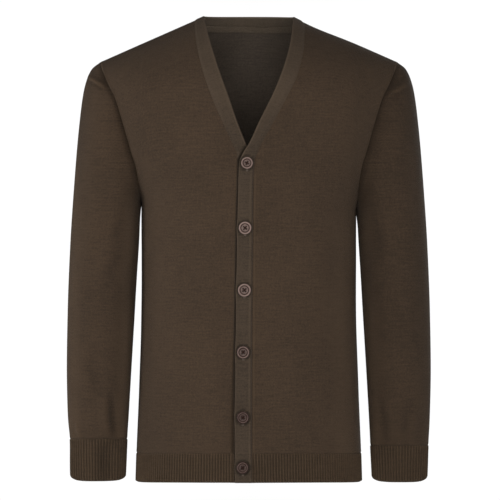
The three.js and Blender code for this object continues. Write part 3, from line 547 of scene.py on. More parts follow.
def side_row(j):
    """Height of a row at the armhole and at the side seam."""
    upper = lerp(TIP_Z, ARMPIT_Z, np.clip(j / ARMHOLE_ROWS, 0, 1) ** ROW_EASE)
    lower = lerp(ARMPIT_Z, SIDE_RIB_TOP, (j - ARMHOLE_ROWS) / (PANEL_ROWS - ARMHOLE_ROWS))
    return np.where(j <= ARMHOLE_ROWS, upper, lower)


def edge_table(across):
    """The front edge of one side; across is 1 on the wearer's left and -1 on the right."""
    return LEFT_EDGE if across > 0 else RIGHT_EDGE


def edge_x(across, seam_z):
    """Distance of a band's seam from the middle line."""
    return read(edge_table(across), "seam_x", seam_z)


def edge_row(across, j):
    """Height of a row at the front edge."""
    top = ridge_height(NECK_SEAM_X)
    bottom = hem_height(edge_x(across, HEM_SIDE_Z), -1) + HEM_RIB_HEIGHT
    upper = lerp(top, V_CORNER_Z, np.clip(j / V_ROWS, 0, 1) ** ROW_EASE)
    corner = side_row(np.array(float(V_ROWS)))
    done = (corner - side_row(j)) / (corner - SIDE_RIB_TOP)
    return np.where(j <= V_ROWS, upper, lerp(V_CORNER_Z, bottom, done))


# %% Levels of the lap
def placket_share(z):
    """0 in the V, where the fronts are apart, and 1 on the placket, where they overlap."""
    return 1 - smoothstep(z, LEVEL_TO_Z, LEVEL_FROM_Z)


def seam_level(across, z):
    """How high a front lies at the seam of its band: the upper one out, the lower one in."""
    return (LEFT_PANEL_LEVEL if across > 0 else RIGHT_PANEL_LEVEL) * placket_share(z)


def front_level(across, x, z):
    """The lift of a front beside its band, eased out across the panel."""
    away = np.abs(x - across * edge_x(across, z))
    return seam_level(across, z) * (1 - smoothstep(away, 0, LEVEL_REACH))


def band_level(across, z):
    """How high a band lies over the body's surface."""
    return lerp(BAND_PROUD, UPPER_BAND_LEVEL if across > 0 else UNDER_BAND_LEVEL, placket_share(z))


# %% Outer edges and fine rows
def side_x(j, side):
    """How far out a row ends: at the armhole above, at the side seam below."""
    z = side_row(j)
    armhole = read(ARMHOLE, "front" if side < 0 else "back", z)
    return np.where(j >= ARMHOLE_ROWS, read(BODY, "half_width", z), armhole)


fine_rows = np.unique(np.round(np.concatenate([
    [0, 0.12, 0.2, 0.27, 0.34, 0.42, 0.52], np.linspace(0.6, V_ROWS, 64),
    np.linspace(V_ROWS, ARMHOLE_ROWS, 26), np.linspace(ARMHOLE_ROWS, 19.8, 118),
    [19.85, 19.9, 19.93, 19.96, 19.98, 20],
]), 5))
print("rows in a panel:", len(fine_rows))


# %% Wales and courses
def cloth_map(x, z, side):
    """Millimetres of cloth from the middle line and from the chest line to each point."""
    shares = np.linspace(0, 1, 33)
    xs = np.multiply.outer(shares, x)
    path = np.stack([xs, body_depth(xs, np.broadcast_to(z, xs.shape), side)], -1)
    u = np.linalg.norm(np.diff(path, axis=0), axis=-1).sum(0) * np.sign(x)
    zs = lerp(-300.0, z, shares[(...,) + (None,) * np.ndim(z)])
    path = np.stack([zs, body_depth(np.broadcast_to(x, zs.shape), zs, side)], -1)
    v = np.linalg.norm(np.diff(path, axis=0), axis=-1).sum(0) * np.sign(z + 300.0)
    return np.stack([u, v], -1)


# %% Grid of one front
FRONT_SPAN = 150.0


def front_grid(across):
    """Rows from the shoulder to the rib, columns from the band's seam to the side."""
    j = fine_rows[:, None]
    u = steps_to_edges(FRONT_SPAN, 42)[None, :]
    heights = edge_row(across, j)
    top_z = ridge_height(NECK_SEAM_X)
    start_top = angle_of(NECK_SEAM_X, top_z)
    end_top = angle_of(SHOULDER_X, TIP_Z)
    edge = edge_x(across, heights)
    start = angle_of(edge, heights)
    end = angle_of(side_x(j, -1), side_row(j))
    ridge_angle = angle_of(lerp(NECK_SEAM_X, SHOULDER_X, u), lerp(top_z, TIP_Z, u))
    ridge_share = (ridge_angle - start_top) / (end_top - start_top)
    down = j / PANEL_ROWS
    share = lerp(ridge_share, u, smoothstep(down, 0, 0.6))
    straight = lerp(heights, side_row(j), u)
    rib_top = hem_height(x_of(lerp(start, end, share), straight), -1) + HEM_RIB_HEIGHT
    z = straight + (rib_top - lerp(heights[-1:], side_row(j)[-1:], u)) * down ** 4
    x = np.where(u == 0, edge, x_of(lerp(start, end, share), z))
    x = np.where(j == 0, lerp(NECK_SEAM_X, SHOULDER_X, u), x) * across
    z = np.where(j == 0, straight, z)
    points, normals = on_body(x, z, -1)
    return points, normals, x, z


# %% Grid of the back
BACK_SPAN = 470.0
NECK_COLUMNS = 49


def back_top_line():
    """Across the top of the back: one shoulder, the neck seam, the other shoulder."""
    out = lerp(SHOULDER_X, NECK_SEAM_X, steps_to_edges(SHOULDER_X - NECK_SEAM_X, 26))
    neck = NECK_SEAM_X * np.sin(np.pi * np.linspace(0.5, -0.5, NECK_COLUMNS))
    x = np.concatenate([out, neck[1:-1], -out[::-1]])
    z = np.where(np.abs(x) >= NECK_SEAM_X - 1e-6, ridge_height(x), neck_seam_height(x))
    return x, z


def back_grid():
    """Rows from the shoulders and the neck to the rib, columns from side to side."""
    j = fine_rows[:, None]
    top_x, top_z = (values[None, :] for values in back_top_line())
    even = 1 - 2 * steps_to_edges(BACK_SPAN, top_x.shape[1] - 2 * len(EDGE_STEPS))
    fallen = (side_row(j) - TIP_Z) / (SIDE_RIB_TOP - TIP_Z)
    end = angle_of(side_x(j, 1), side_row(j))
    start_share = angle_of(top_x, top_z) / angle_of(SHOULDER_X, TIP_Z)
    share = lerp(start_share, even, smoothstep(j / PANEL_ROWS, 0, 0.6))
    below = x_of(end * share, side_row(j))
    z = lerp(top_z, hem_height(below, 1) + HEM_RIB_HEIGHT, fallen)
    x = x_of(end * share, z)
    x = np.where(np.abs(np.abs(share) - 1) < 1e-9, np.sign(share) * side_x(j, 1), x)
    x = np.where(j == 0, top_x, x)
    z = np.where(j == 0, top_z, z)
    points, normals = on_body(x, z, 1)
    return points, normals, x, z


print("columns in a back:", len(back_top_line()[0]))

# %% [markdown]
# ## Sleeves
# A sleeve is a ring at every place down the arm, from its outer point to its inner one. The first
# ring is the armhole itself, so the sleeve leaves the panels without a step. A tube pushed into the
# body would be quicker, but its seam would be a cut through both, and no sewn seam looks like that.

# %% Sleeve surface
def ring(turn):
    """Out and forward on a ring that is a little squarer than an ellipse."""
    power = 2 / SLEEVE_SQUARENESS
    out = np.sign(np.cos(turn)) * np.abs(np.cos(turn)) ** power
    front = np.sign(np.sin(turn)) * np.abs(np.sin(turn)) ** power
    return out, front


# %% Large folds of the sleeves
SLEEVE_FOLDS = {
    -1: [(117, 24, 0.8, 1.35, 4.2), (250, 30, 0.55, 1.05, 3.4), (150, 30, 0.36, 0.66, 2.2)],
    1: [(122, 26, 0.9, 1.3, 2.6), (290, 30, 0.5, 1.0, 3.2), (152, 28, 0.34, 0.62, 2.4)],
}


def large_folds(across, turn, at):
    """How far the broad folds draw the ring of the arm in."""
    total = 0
    for centre, spread, start, stop, depth in SLEEVE_FOLDS[across]:
        off = (np.degrees(turn) - centre + 180) % 360 - 180
        length = np.clip((at - start) / (stop - start), 0, 1)
        total = total + depth * np.sin(np.pi * length) ** 2 * np.exp(-2 * (off / spread) ** 2)
    return total


def on_sleeve(across, turn, at):
    """Points on a sleeve, from turns round it and places down it."""
    turn, at = np.broadcast_arrays(turn, at)
    out = np.stack([read(SLEEVE, "out_x", at), read(SLEEVE, "out_z", at)], -1)
    inn = np.stack([read(SLEEVE, "in_x", at), read(SLEEVE, "in_z", at)], -1)
    middle = (out + inn) / 2
    outward = out - middle
    around, front = ring(turn)
    kept = 1 - large_folds(across, turn, at) / np.linalg.norm(outward, axis=-1)
    flat = middle + outward * (around * kept)[..., None]
    y = -front * read(SLEEVE, "depth", at) * kept - read(SLEEVE, "forward", at)
    return np.stack([flat[..., 0] * across, y, flat[..., 1]], -1)


# %% Where a sleeve meets its armhole
def armhole_turns(across, loop):
    """Where the points of the armhole sit on the sleeve's first ring."""
    out = np.array([read(SLEEVE, "out_x", 0.0), read(SLEEVE, "out_z", 0.0)])
    inn = np.array([read(SLEEVE, "in_x", 0.0), read(SLEEVE, "in_z", 0.0)])
    middle = (out + inn) / 2
    outward = out - middle
    place = np.stack([across * loop[:, 0], loop[:, 2]], -1) - middle
    share = np.clip(place @ outward / (outward @ outward), -1, 1)
    turn = np.arccos(np.sign(share) * np.abs(share) ** (SLEEVE_SQUARENESS / 2))
    return turn


def grid_normals(points, wrapped):
    """Directions out of a grid, from the neighbours of each point."""
    if wrapped:
        around = np.roll(points, -1, 1) - np.roll(points, 1, 1)
    else:
        around = np.gradient(points, axis=1)
    down = np.gradient(points, axis=0)
    return unit(np.cross(around, down))


# %% Grid of one sleeve
SLEEVE_COLUMNS = 56


def sleeve_grid(across):
    """Columns start at the armpit, go up the back of the arm, over its outside and down the front."""
    half = np.linspace(0, 1, SLEEVE_COLUMNS + 1)
    height = lerp(TIP_Z, ARMPIT_Z, (1 - np.cos(np.pi * half)) / 2)
    front = on_body(across * read(ARMHOLE, "front", height), height, -1)
    back = on_body(across * read(ARMHOLE, "back", height), height, 1)
    loop = np.concatenate([back[0][::-1], front[0][1:-1]])
    panel_normals = np.concatenate([back[1][::-1], front[1][1:-1]])
    turns = armhole_turns(across, loop)
    turns[:SLEEVE_COLUMNS + 1] = 2 * np.pi - turns[:SLEEVE_COLUMNS + 1]
    turns[SLEEVE_COLUMNS + 1:] += 2 * np.pi
    turns[SLEEVE_COLUMNS] = 2 * np.pi
    count = len(loop)
    shares = np.concatenate([[0, 0.006, 0.012, 0.02, 0.03, 0.042], np.linspace(0.055, 1, 172)])
    at = shares[:, None] ** 1.25
    at[-1] = 1
    spread = np.pi + 2 * np.pi * np.arange(count) / count
    turn = lerp(turns[None, :], spread[None, :], smoothstep(at, 0, 0.35))
    hold = (1 - np.clip(at / 0.14, 0, 1)) ** 2
    stray = loop - on_sleeve(across, turns, np.zeros(count))
    points = on_sleeve(across, turn, at) + stray[None] * hold[..., None]
    normals = grid_normals(points, True)
    normals *= np.sign((normals[60] * (points[60] - points[60].mean(0))).sum())
    low = 1 - smoothstep(loop[:, 2], ARMPIT_Z, UNDERARM_FROM_Z)
    shared = panel_normals + normals[0]
    shared[:, 2] -= low
    shared[0] = (0, 0, -1)
    shared[SLEEVE_COLUMNS, 1] = 0
    shared = unit(shared)
    fade = ((1 - np.clip(at / 0.03, 0, 1)) ** 2)[..., None]
    normals = unit(lerp(normals, shared[None], fade))
    heights = loop[:, 2]
    drop = np.where(np.arange(count) <= SLEEVE_COLUMNS, armhole_drop(heights, 1), armhole_drop(heights, -1))
    edges = {
        1: (heights[:SLEEVE_COLUMNS + 1], shared[:SLEEVE_COLUMNS + 1]),
        -1: (np.append(heights[SLEEVE_COLUMNS:], heights[0])[::-1],
             np.concatenate([shared[SLEEVE_COLUMNS:], shared[:1]])[::-1]),
    }
    return {"points": points, "normals": normals, "turn": turn, "drop": drop, "edges": edges}


sleeves = {across: sleeve_grid(across) for across in (1, -1)}
print("columns round a sleeve:", 2 * SLEEVE_COLUMNS)


def share_armhole(normals, z, distance, across, side):
    """Turns a panel's directions at the armhole to those of the sleeve sewn on there."""
    heights, shared = sleeves[across]["edges"][side]
    wanted = np.stack([np.interp(z, heights, shared[:, k]) for k in range(3)], -1)
    reach = np.exp(-(distance / 3.0) ** 2) * smoothstep(z, ARMPIT_Z - 6, ARMPIT_Z)
    return unit(lerp(normals, unit(wanted), reach[..., None]))

# %% [markdown]
# ## Knitted cloth as a material
# Jersey is rows of small V-shaped loops. At this size the loops belong in the surface's relief and
# colour, not in the mesh: the back alone has some 170,000 of them. One node group makes the loops
# from the UV map, another the fine hair and the flecks of a dyed yarn. The shader stays in each
# material, where its sheen and roughness can be read at once.

# %% Node helpers
def new_group(name, inputs, outputs, kind_of_tree="ShaderNodeTree"):
    """An empty node tree with named inputs and outputs."""
    group = bpy.data.node_groups.new(name, kind_of_tree)
    for label, kind, default in inputs:
        socket = group.interface.new_socket(name=label, in_out="INPUT", socket_type=kind)
        if default is not None:
            socket.default_value = default
    for label, kind in outputs:
        group.interface.new_socket(name=label, in_out="OUTPUT", socket_type=kind)
    start = group.nodes.new("NodeGroupInput")
    end = group.nodes.new("NodeGroupOutput")
    return group, start, end


def maths(tree, operation, a, b=None, clamp=False):
    """A Math node; a and b are sockets or plain numbers."""
    node = tree.nodes.new("ShaderNodeMath")
    node.operation = operation
    node.use_clamp = clamp
    for socket, value in zip(node.inputs, (a, b)):
        if isinstance(value, bpy.types.NodeSocket):
            tree.links.new(value, socket)
        elif value is not None:
            socket.default_value = value
    return node.outputs[0]


def stored(tree, label):
    """A number that a shader reads from the mesh."""
    node = tree.nodes.new("ShaderNodeAttribute")
    node.attribute_name = label
    return node.outputs["Fac"]


def stored_in(tree, label, kind):
    """A number or a direction that a Geometry Nodes tree reads from the mesh."""
    node = tree.nodes.new("GeometryNodeInputNamedAttribute")
    node.data_type = kind
    node.inputs["Name"].default_value = label
    return node.outputs[0]


def new_material(name):
    """A material, its node tree and its shader."""
    material = bpy.data.materials.new(name)
    material.use_nodes = True
    tree = material.node_tree
    return material, tree, tree.nodes["Principled BSDF"]


def two_shades(tree, shader, shade, dark, light):
    """Colours a shader between a dark and a light shade of one dye."""
    mix = tree.nodes.new("ShaderNodeMix")
    mix.data_type = "RGBA"
    mix.inputs["A"].default_value = (*dark, 1)
    mix.inputs["B"].default_value = (*light, 1)
    tree.links.new(shade, mix.inputs["Factor"])
    tree.links.new(mix.outputs["Result"], shader.inputs["Base Color"])


def bump(tree, height, distance, strength):
    """Fine relief that only the light sees; the distance is in metres."""
    node = tree.nodes.new("ShaderNodeBump")
    node.inputs["Distance"].default_value = distance
    node.inputs["Strength"].default_value = strength
    tree.links.new(height, node.inputs["Height"])
    return node


def noise(tree, vector, scale, detail=2.0, roughness=0.5):
    """Noise from 0 to 1 over a vector."""
    node = tree.nodes.new("ShaderNodeTexNoise")
    node.inputs["Scale"].default_value = scale
    node.inputs["Detail"].default_value = detail
    node.inputs["Roughness"].default_value = roughness
    tree.links.new(vector, node.inputs["Vector"])
    return node.outputs[0]


# %% The loops of plain knit
def knit_loops_group():
    """Height and gaps of V-shaped loops, from a UV map in millimetres."""
    group, start, end = new_group(
        "knit_loops",
        [("Cloth", "NodeSocketVector", None), ("Wale", "NodeSocketFloat", 1.5),
         ("Course", "NodeSocketFloat", 1.15)],
        [("Height", "NodeSocketFloat"), ("Gap", "NodeSocketFloat")],
    )
    split = group.nodes.new("ShaderNodeSeparateXYZ")
    group.links.new(start.outputs["Cloth"], split.inputs[0])
    across = maths(group, "DIVIDE", split.outputs[0], start.outputs["Wale"])
    up = maths(group, "DIVIDE", split.outputs[1], start.outputs["Course"])
    within = maths(group, "FRACT", across)
    from_middle = maths(group, "ABSOLUTE", maths(group, "SUBTRACT", within, 0.5))
    slanted = maths(group, "SUBTRACT", up, maths(group, "MULTIPLY", from_middle, 1.5))
    leg = maths(group, "FRACT", slanted)
    arch = maths(group, "SINE", maths(group, "MULTIPLY", leg, math.pi))
    side = maths(group, "SINE", maths(group, "MULTIPLY", from_middle, 2 * math.pi))
    side = maths(group, "POWER", maths(group, "ABSOLUTE", side), 0.6)
    height = maths(group, "MULTIPLY", maths(group, "POWER", arch, 0.7), side)
    group.links.new(height, end.inputs["Height"])
    gap = maths(group, "SUBTRACT", 1.0, height, clamp=True)
    group.links.new(maths(group, "POWER", gap, 2.0), end.inputs["Gap"])
    return group


def yarn_group():
    """Flecks, cloudy dye, fine hair and uneven yarn, from places in metres and cloth in millimetres."""
    group, start, end = new_group(
        "dyed_yarn",
        [("Place", "NodeSocketVector", None), ("Cloth", "NodeSocketVector", None)],
        [("Flecks", "NodeSocketFloat"), ("Clouds", "NodeSocketFloat"), ("Hair", "NodeSocketFloat"),
         ("Courses", "NodeSocketFloat"), ("Wales", "NodeSocketFloat")],
    )
    group.links.new(noise(group, start.outputs["Place"], 420.0, 4.0, 0.7), end.inputs["Flecks"])
    group.links.new(noise(group, start.outputs["Place"], 11.0, 2.0, 0.5), end.inputs["Clouds"])
    group.links.new(noise(group, start.outputs["Place"], 2600.0, 2.0, 0.6), end.inputs["Hair"])
    for label, scale in (("Courses", (0.045, 0.42, 1.0)), ("Wales", (0.40, 0.035, 1.0))):
        stretch = group.nodes.new("ShaderNodeMapping")
        stretch.inputs["Scale"].default_value = scale
        group.links.new(start.outputs["Cloth"], stretch.inputs["Vector"])
        group.links.new(noise(group, stretch.outputs[0], 1.0, 3.0, 0.6), end.inputs[label])
    return group


knit_loops = knit_loops_group()
dyed_yarn = yarn_group()
print("shared effects:", knit_loops.name, dyed_yarn.name)


# %% A knitted cloth
def knit_cloth(name, dark, light, wale, course, loop_depth, ribs=0.0):
    """Knitted cloth in a dark and a light shade of one dye; ribs is how much painted shade darkens their
    furrows.
    """
    material, tree, shader = new_material(name)
    cloth = tree.nodes.new("ShaderNodeUVMap")
    cloth.uv_map = "cloth"
    place = tree.nodes.new("ShaderNodeTexCoord")
    loops = tree.nodes.new("ShaderNodeGroup")
    loops.node_tree = knit_loops
    loops.inputs["Wale"].default_value = wale
    loops.inputs["Course"].default_value = course
    tree.links.new(cloth.outputs[0], loops.inputs["Cloth"])
    yarn = tree.nodes.new("ShaderNodeGroup")
    yarn.node_tree = dyed_yarn
    tree.links.new(place.outputs["Object"], yarn.inputs["Place"])
    tree.links.new(cloth.outputs[0], yarn.inputs["Cloth"])
    shade = 0.5
    for label, share in (("Flecks", 1.5), ("Clouds", 0.5), ("Courses", 0.98), ("Wales", 0.4)):
        uneven = maths(tree, "MULTIPLY", maths(tree, "SUBTRACT", yarn.outputs[label], 0.5), share)
        shade = maths(tree, "ADD", uneven, shade)
    # Painted shade: the low parts and gaps of each loop are coloured darker.
    depth = maths(tree, "MULTIPLY", maths(tree, "SUBTRACT", loops.outputs["Height"], 0.5), 0.55)
    shade = maths(tree, "ADD", shade, depth)
    # Painted light and shade, stored on the mesh as a number at each point, make the cloth paler or darker.
    shade = maths(tree, "ADD", shade, stored(tree, "faded"))
    # Painted shade in the furrows between the ribs.
    if ribs:
        wave = maths(tree, "COSINE", maths(tree, "MULTIPLY", stored(tree, "rib"), 2 * math.pi))
        shade = maths(tree, "ADD", shade, maths(tree, "MULTIPLY", wave, ribs))
    two_shades(tree, shader, maths(tree, "ADD", shade, 0.0, clamp=True), dark, light)
    relief = bump(tree, loops.outputs["Height"], loop_depth, 0.7)
    fuzz = bump(tree, yarn.outputs["Hair"], 0.00012, 0.6)
    tree.links.new(relief.outputs[0], fuzz.inputs["Normal"])
    tree.links.new(fuzz.outputs[0], shader.inputs["Normal"])
    shader.inputs["Roughness"].default_value = 0.92
    shader.inputs["Specular IOR Level"].default_value = 0.18
    shader.inputs["Sheen Weight"].default_value = 0.04
    shader.inputs["Sheen Roughness"].default_value = 0.45
    shader.inputs["Sheen Tint"].default_value = (0.62, 0.5, 0.4, 1)
    return material


# %% The cloths of the cardigan
jersey = knit_cloth(
    "olive_brown_jersey", (0.0196, 0.0120, 0.0066), (0.0496, 0.0308, 0.0174), 1.5, 1.15, 0.0005)
jersey_reverse = knit_cloth(
    "jersey_reverse", (0.0459, 0.0357, 0.0274), (0.0925, 0.0714, 0.0540), 1.5, 0.6, 0.0004)
rib_knit = knit_cloth(
    "olive_brown_rib", (0.0197, 0.0122, 0.0065), (0.0504, 0.0315, 0.0174), 1.4, 1.15, 0.0004, ribs=0.22)
band_knit = knit_cloth("band_knit", (0.0198, 0.0135, 0.0084), (0.0502, 0.0343, 0.0218), 1.2, 1.0, 0.0004)
band_reverse = knit_cloth(
    "band_inside", (0.0460, 0.0345, 0.0241), (0.0978, 0.0736, 0.0515), 1.2, 1.0, 0.0004)
tape_weave = knit_cloth(
    "neck_tape_weave", (0.0575, 0.0437, 0.0308), (0.1207, 0.0920, 0.0650), 0.8, 0.8, 0.0002)
print("cloths:", len(bpy.data.materials))


# %% Dressing a piece
def dress(piece, material, nodes, inside=None):
    """Puts a material on a piece and lets it stand for its plain solids."""
    if not piece.data.materials:
        piece.data.materials.append(material)
        piece.data.materials.append(inside or material)
    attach(piece, "root")
    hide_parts(*nodes)


# %% [markdown]
# ## The fronts and the back
# Each panel is cut from jersey. Real creases are few: the chest pulls a little towards the armhole, and
# the side settles in long soft waves above the hem. A painted highlight runs along the armhole and the
# top seams, and painted light brightens the sides where the sleeves shade them. A cloth simulation
# could drape such a panel, but its folds would fall where they like, and these few are quick to lay
# where they belong.

# %% The panels
JERSEY_WALL = 1.3
FRONT_CREASES = [
    (205, -120, 165, -215, 6, 9, 0.9), (196, -150, 158, -262, 4, 7, 0.7),
    (176, -236, 120, -214, -6, 10, 0.8), (150, -330, 158, -520, 5, 12, 0.9),
    (128, -420, 122, -600, -6, 14, 0.7), (60, -560, 96, -640, 5, 12, 0.6),
    (96, -110, 70, -210, 5, 14, 0.5), (40, -260, 76, -330, 6, 13, 0.5),
]
V_PUCKERS = {
    1: [(12, -201, 25, -206, 1, 1.7, -1.7), (16, -214, 27, -217, 1, 2.0, -0.8)],
    -1: [(-25, -211, -13, -206, 1, 1.7, -1.7), (-28, -219, -18, -216, 1, 2.0, -0.8)],
}
BACK_CREASES = [
    (200, -130, 150, -250, 6, 8, 2.0), (-198, -126, -140, -262, -7, 9, 2.2),
    (60, -70, 128, -120, 5, 10, 1.1), (-52, -74, -120, -128, -6, 11, 1.2),
    (142, -330, 150, -560, 6, 10, 2.0), (-146, -350, -138, -590, -5, 9, 1.8),
    (40, -470, 52, -640, 4, 12, 1.4), (-66, -430, -44, -600, -5, 11, 1.3),
    (10, -250, 70, -330, 7, 12, 0.9),
]


# %% Edges and painted light of a panel
def side_edge(distance, z, side):
    """Relief at a panel's outer edge: the armhole above, the side seam below."""
    in_armhole = smoothstep(z, ARMPIT_Z - 4, ARMPIT_Z + 4)
    armhole = panel_at_armhole(distance, armhole_drop(z, side))
    return lerp(seam(distance), armhole, in_armhole)


def painted_seam_highlight(distance):
    """A painted highlight along the fold beside a seam."""
    return 0.5 * np.exp(-((distance - 1.4) / 1.3) ** 2)


def painted_side_light(x, z, across):
    """Painted light on the sides of the body, where the sleeves shade them, on a broader strip at the left.
    """
    below = smoothstep(-z, 262, 340)
    from_x = {-1: 146, 0: 140, 1: 116}[across]
    return 0.24 * below * smoothstep(np.abs(x), from_x, from_x + 26)


# %% One panel as a wall
def panel(name, grid, side, across, crease_rows, level, nodes):
    """A front or the back: relief and wear on its grid, then the wall."""
    points, normals, x, z = grid
    distance = edge_distance(points)
    lift = level + creases(x, z, crease_rows)
    lift = lift + seam(distance["bottom"], 0.3, 0.2, 2.0, 1.2) + seam(distance["top"])
    if side < 0:
        if across > 0:
            lift = lift + linked_seam(distance["left"], firm_seam(z))
        else:
            lift = lift + (1 - placket_share(z)) * linked_seam(distance["left"], 0) + under_lap(x, z)
        lift = lift + side_edge(distance["right"], z, side)
        normals = share_armhole(normals, z, distance["right"], across, side)
    else:
        lift = lift + side_edge(distance["left"], z, side) + side_edge(distance["right"], z, side)
        normals = share_armhole(normals, z, distance["left"], 1, side)
        normals = share_armhole(normals, z, distance["right"], -1, side)
    armhole = distance["right"] if side < 0 else np.minimum(distance["left"], distance["right"])
    # Painted light and shade: a painted highlight along the armhole, stronger at the shoulder, and along
    # the top seam; painted light on the sides; on a front, painted highlights on the V's puckers and the
    # band's seam ridges, or painted shade under the lap.
    above_armpit = smoothstep(z, ARMPIT_Z, ARMPIT_Z + 40)
    at_shoulder = lerp(2.0, 1.0, smoothstep(-z, 105, 150))
    faded = painted_seam_highlight(armhole) * above_armpit * at_shoulder
    faded = faded + 0.5 * painted_seam_highlight(distance["top"])
    faded = faded + painted_side_light(x, z, across)
    if side < 0:
        faded = faded + painted_pucker_highlights(x, z)
        faded = faded + (painted_ridge_highlight(distance["left"], firm_seam(z)) if across > 0 else painted_lap_shade(x, z))
    points = pull_in(points, ["top", "bottom", "left", "right"])
    cloth = cloth_map(x, z, side)
    piece = wall(name, points, normals, cloth, JERSEY_WALL, lift, extra={"faded": faded})
    dress(piece, jersey, nodes, jersey_reverse)


# %% Cutting the three panels
for word, across in SIDES:
    grid = front_grid(across)
    level = front_level(across, grid[2], grid[3])
    mirrored = [(x0 * across, z0, x1 * across, z1, bend * across, w, d)
                for x0, z0, x1, z1, bend, w, d in FRONT_CREASES]
    panel(f"front_{word}_jersey", grid, -1, across, mirrored + V_PUCKERS[across], level, [f"front_{word}"])
panel("back_jersey", back_grid(), 1, 0, BACK_CREASES, 0.0, ["back"])

# %% [markdown]
# ## The sleeves
# Long creases run down the arm from the armhole and again above the wrist, where the sleeve is longer
# than the arm inside it. They are laid in the same way as on the panels, with a table for the front
# of each arm and one for both backs. The folds carry painted light on their ridges and painted shade in
# their troughs, and painted shade darkens the sleeve beside the armhole seam.

# %% Creases on the sleeves
# Places are in millimetres out from the middle of the body and up from the shoulders.
SLEEVE_FRONT = {
    -1: [(243, -88, 205, -110, 2.4, 2.1, -3.2), (240, -80, 214, -97, 2.0, 4.0, 1.4),
         (205, -556, 197, -650, 2, 5.5, 3.0), (257, -604, 250, -642, 2, 3.0, -1.6),
         (216, -632, 216, -704, 1, 11.0, 2.2),
         (204, -485, 188, -503, 2, 2.8, -0.7), (178, -330, 214, -420, 6, 10, 1.0),
         (236, -500, 214, -575, 6, 8, 1.1), (184, -300, 200, -350, 3, 7, 1.2)],
    1: [(240, -101, 202, -122, 1.2, 2.1, -2.8), (236, -90, 212, -106, 1.0, 4.2, 1.6),
        (182, -450, 194, -462, 1, 3.0, -0.9), (186, -468, 206, -484, 2, 5.0, 0.9),
        (182, -300, 196, -362, 4, 8, 1.2), (190, -560, 202, -640, 4, 6, 1.6),
        (246, -560, 232, -636, -4, 6, 1.0)],
}
SLEEVE_BACK = [
    (232, -104, 196, -140, 5, 5, 1.0), (186, -300, 214, -352, 5, 8, 1.8), (182, -340, 226, -396, 6, 8, 1.6),
    (190, -420, 236, -450, 5, 9, 1.5), (196, -470, 244, -486, 4, 8, 1.2),
    (206, -560, 198, -640, -4, 6, 2.0), (244, -580, 236, -640, 3, 5, 1.3),
]


# %% Relief and painted light of a sleeve
def sleeve_creases(points, across):
    """The front's creases where the cloth faces forward, the back's where it faces back."""
    out = points[..., 0] * across
    at_middle = -np.interp(points[..., 2], [-700, -560, -440, -300], [16, 10, 4, 0])
    forward = (at_middle - points[..., 1]) / 40
    front = creases(out, points[..., 2], SLEEVE_FRONT[across]) * smoothstep(forward, 0.0, 0.6)
    back = creases(out, points[..., 2], SLEEVE_BACK) * smoothstep(-forward, 0.0, 0.6)
    return front + back


def sleeve_painted_light_and_shade(points, across):
    """Painted light on the inner arm, where the body shades it, and a little paler along the outer side.
    Painted shade darkens the wearer's left sleeve, most at the top.
    """
    out, z = np.abs(points[..., 0]), points[..., 2]
    inner = np.interp(z, [-700, -300], [184.5, 162.5])
    worn = 0.55 * (1 - smoothstep(out - inner, 3, 28)) * smoothstep(-z, 262, 330)
    if across < 0:
        return worn + 0.28 * smoothstep(out, 246, 262)
    return worn + 0.1 * smoothstep(out, 256, 266) - lerp(0.24, 0.08, smoothstep(-z, 350, 560))


# %% The sleeves
for word, across in SIDES:
    grid = sleeves[across]
    points, normals = grid["points"], grid["normals"]
    distance = edge_distance(points)
    sunk = 0.62 * np.exp(-(distance["top"] / 4.2) ** 2) + 0.38 * np.exp(-(distance["top"] / 16.0) ** 2)
    folds = sleeve_creases(points, across)
    lift = folds - grid["drop"][None, :] * sunk + seam(distance["bottom"], 0.3, 0.2, 2.0, 1.2)
    closed = settle(np.concatenate([points, points[:, :1]], 1))
    around = run(closed * (1, 1, 0), 1)
    around = around - around[:, -1:] / 2
    cloth = np.stack([around, closed[..., 2]], -1)
    points = pull_in(points, ["top", "bottom"])
    above_armpit = smoothstep(points[..., 2], ARMPIT_Z, ARMPIT_Z + 40)
    # Painted shade beside the armhole seam, painted light on the ridges of the folds and painted shade in
    # their troughs, then the painted light and shade of the whole sleeve.
    faded = -0.4 * np.exp(-(distance["top"] / 3.0) ** 2) * above_armpit
    faded = faded + 0.19 * np.clip(folds, -2.2, 3.2) + sleeve_painted_light_and_shade(points, across)
    piece = wall(f"sleeve_{word}_jersey", points, normals, cloth, JERSEY_WALL, lift, wrapped=True,
                 extra={"faded": faded})
    dress(piece, jersey, [f"sleeve_{word}"], jersey_reverse)

# %% [markdown]
# ## Ribs that repeat
# A rib is one wave repeated some two hundred times round the hem. Modelling each by hand would be slow
# and uneven, so a Geometry Nodes tree raises them all by one height, which can be changed after the
# tube is built. It reads how far round each point is, counted in ribs, and moves both faces of the
# wall along the stored direction, so that the ribs show inside as well.

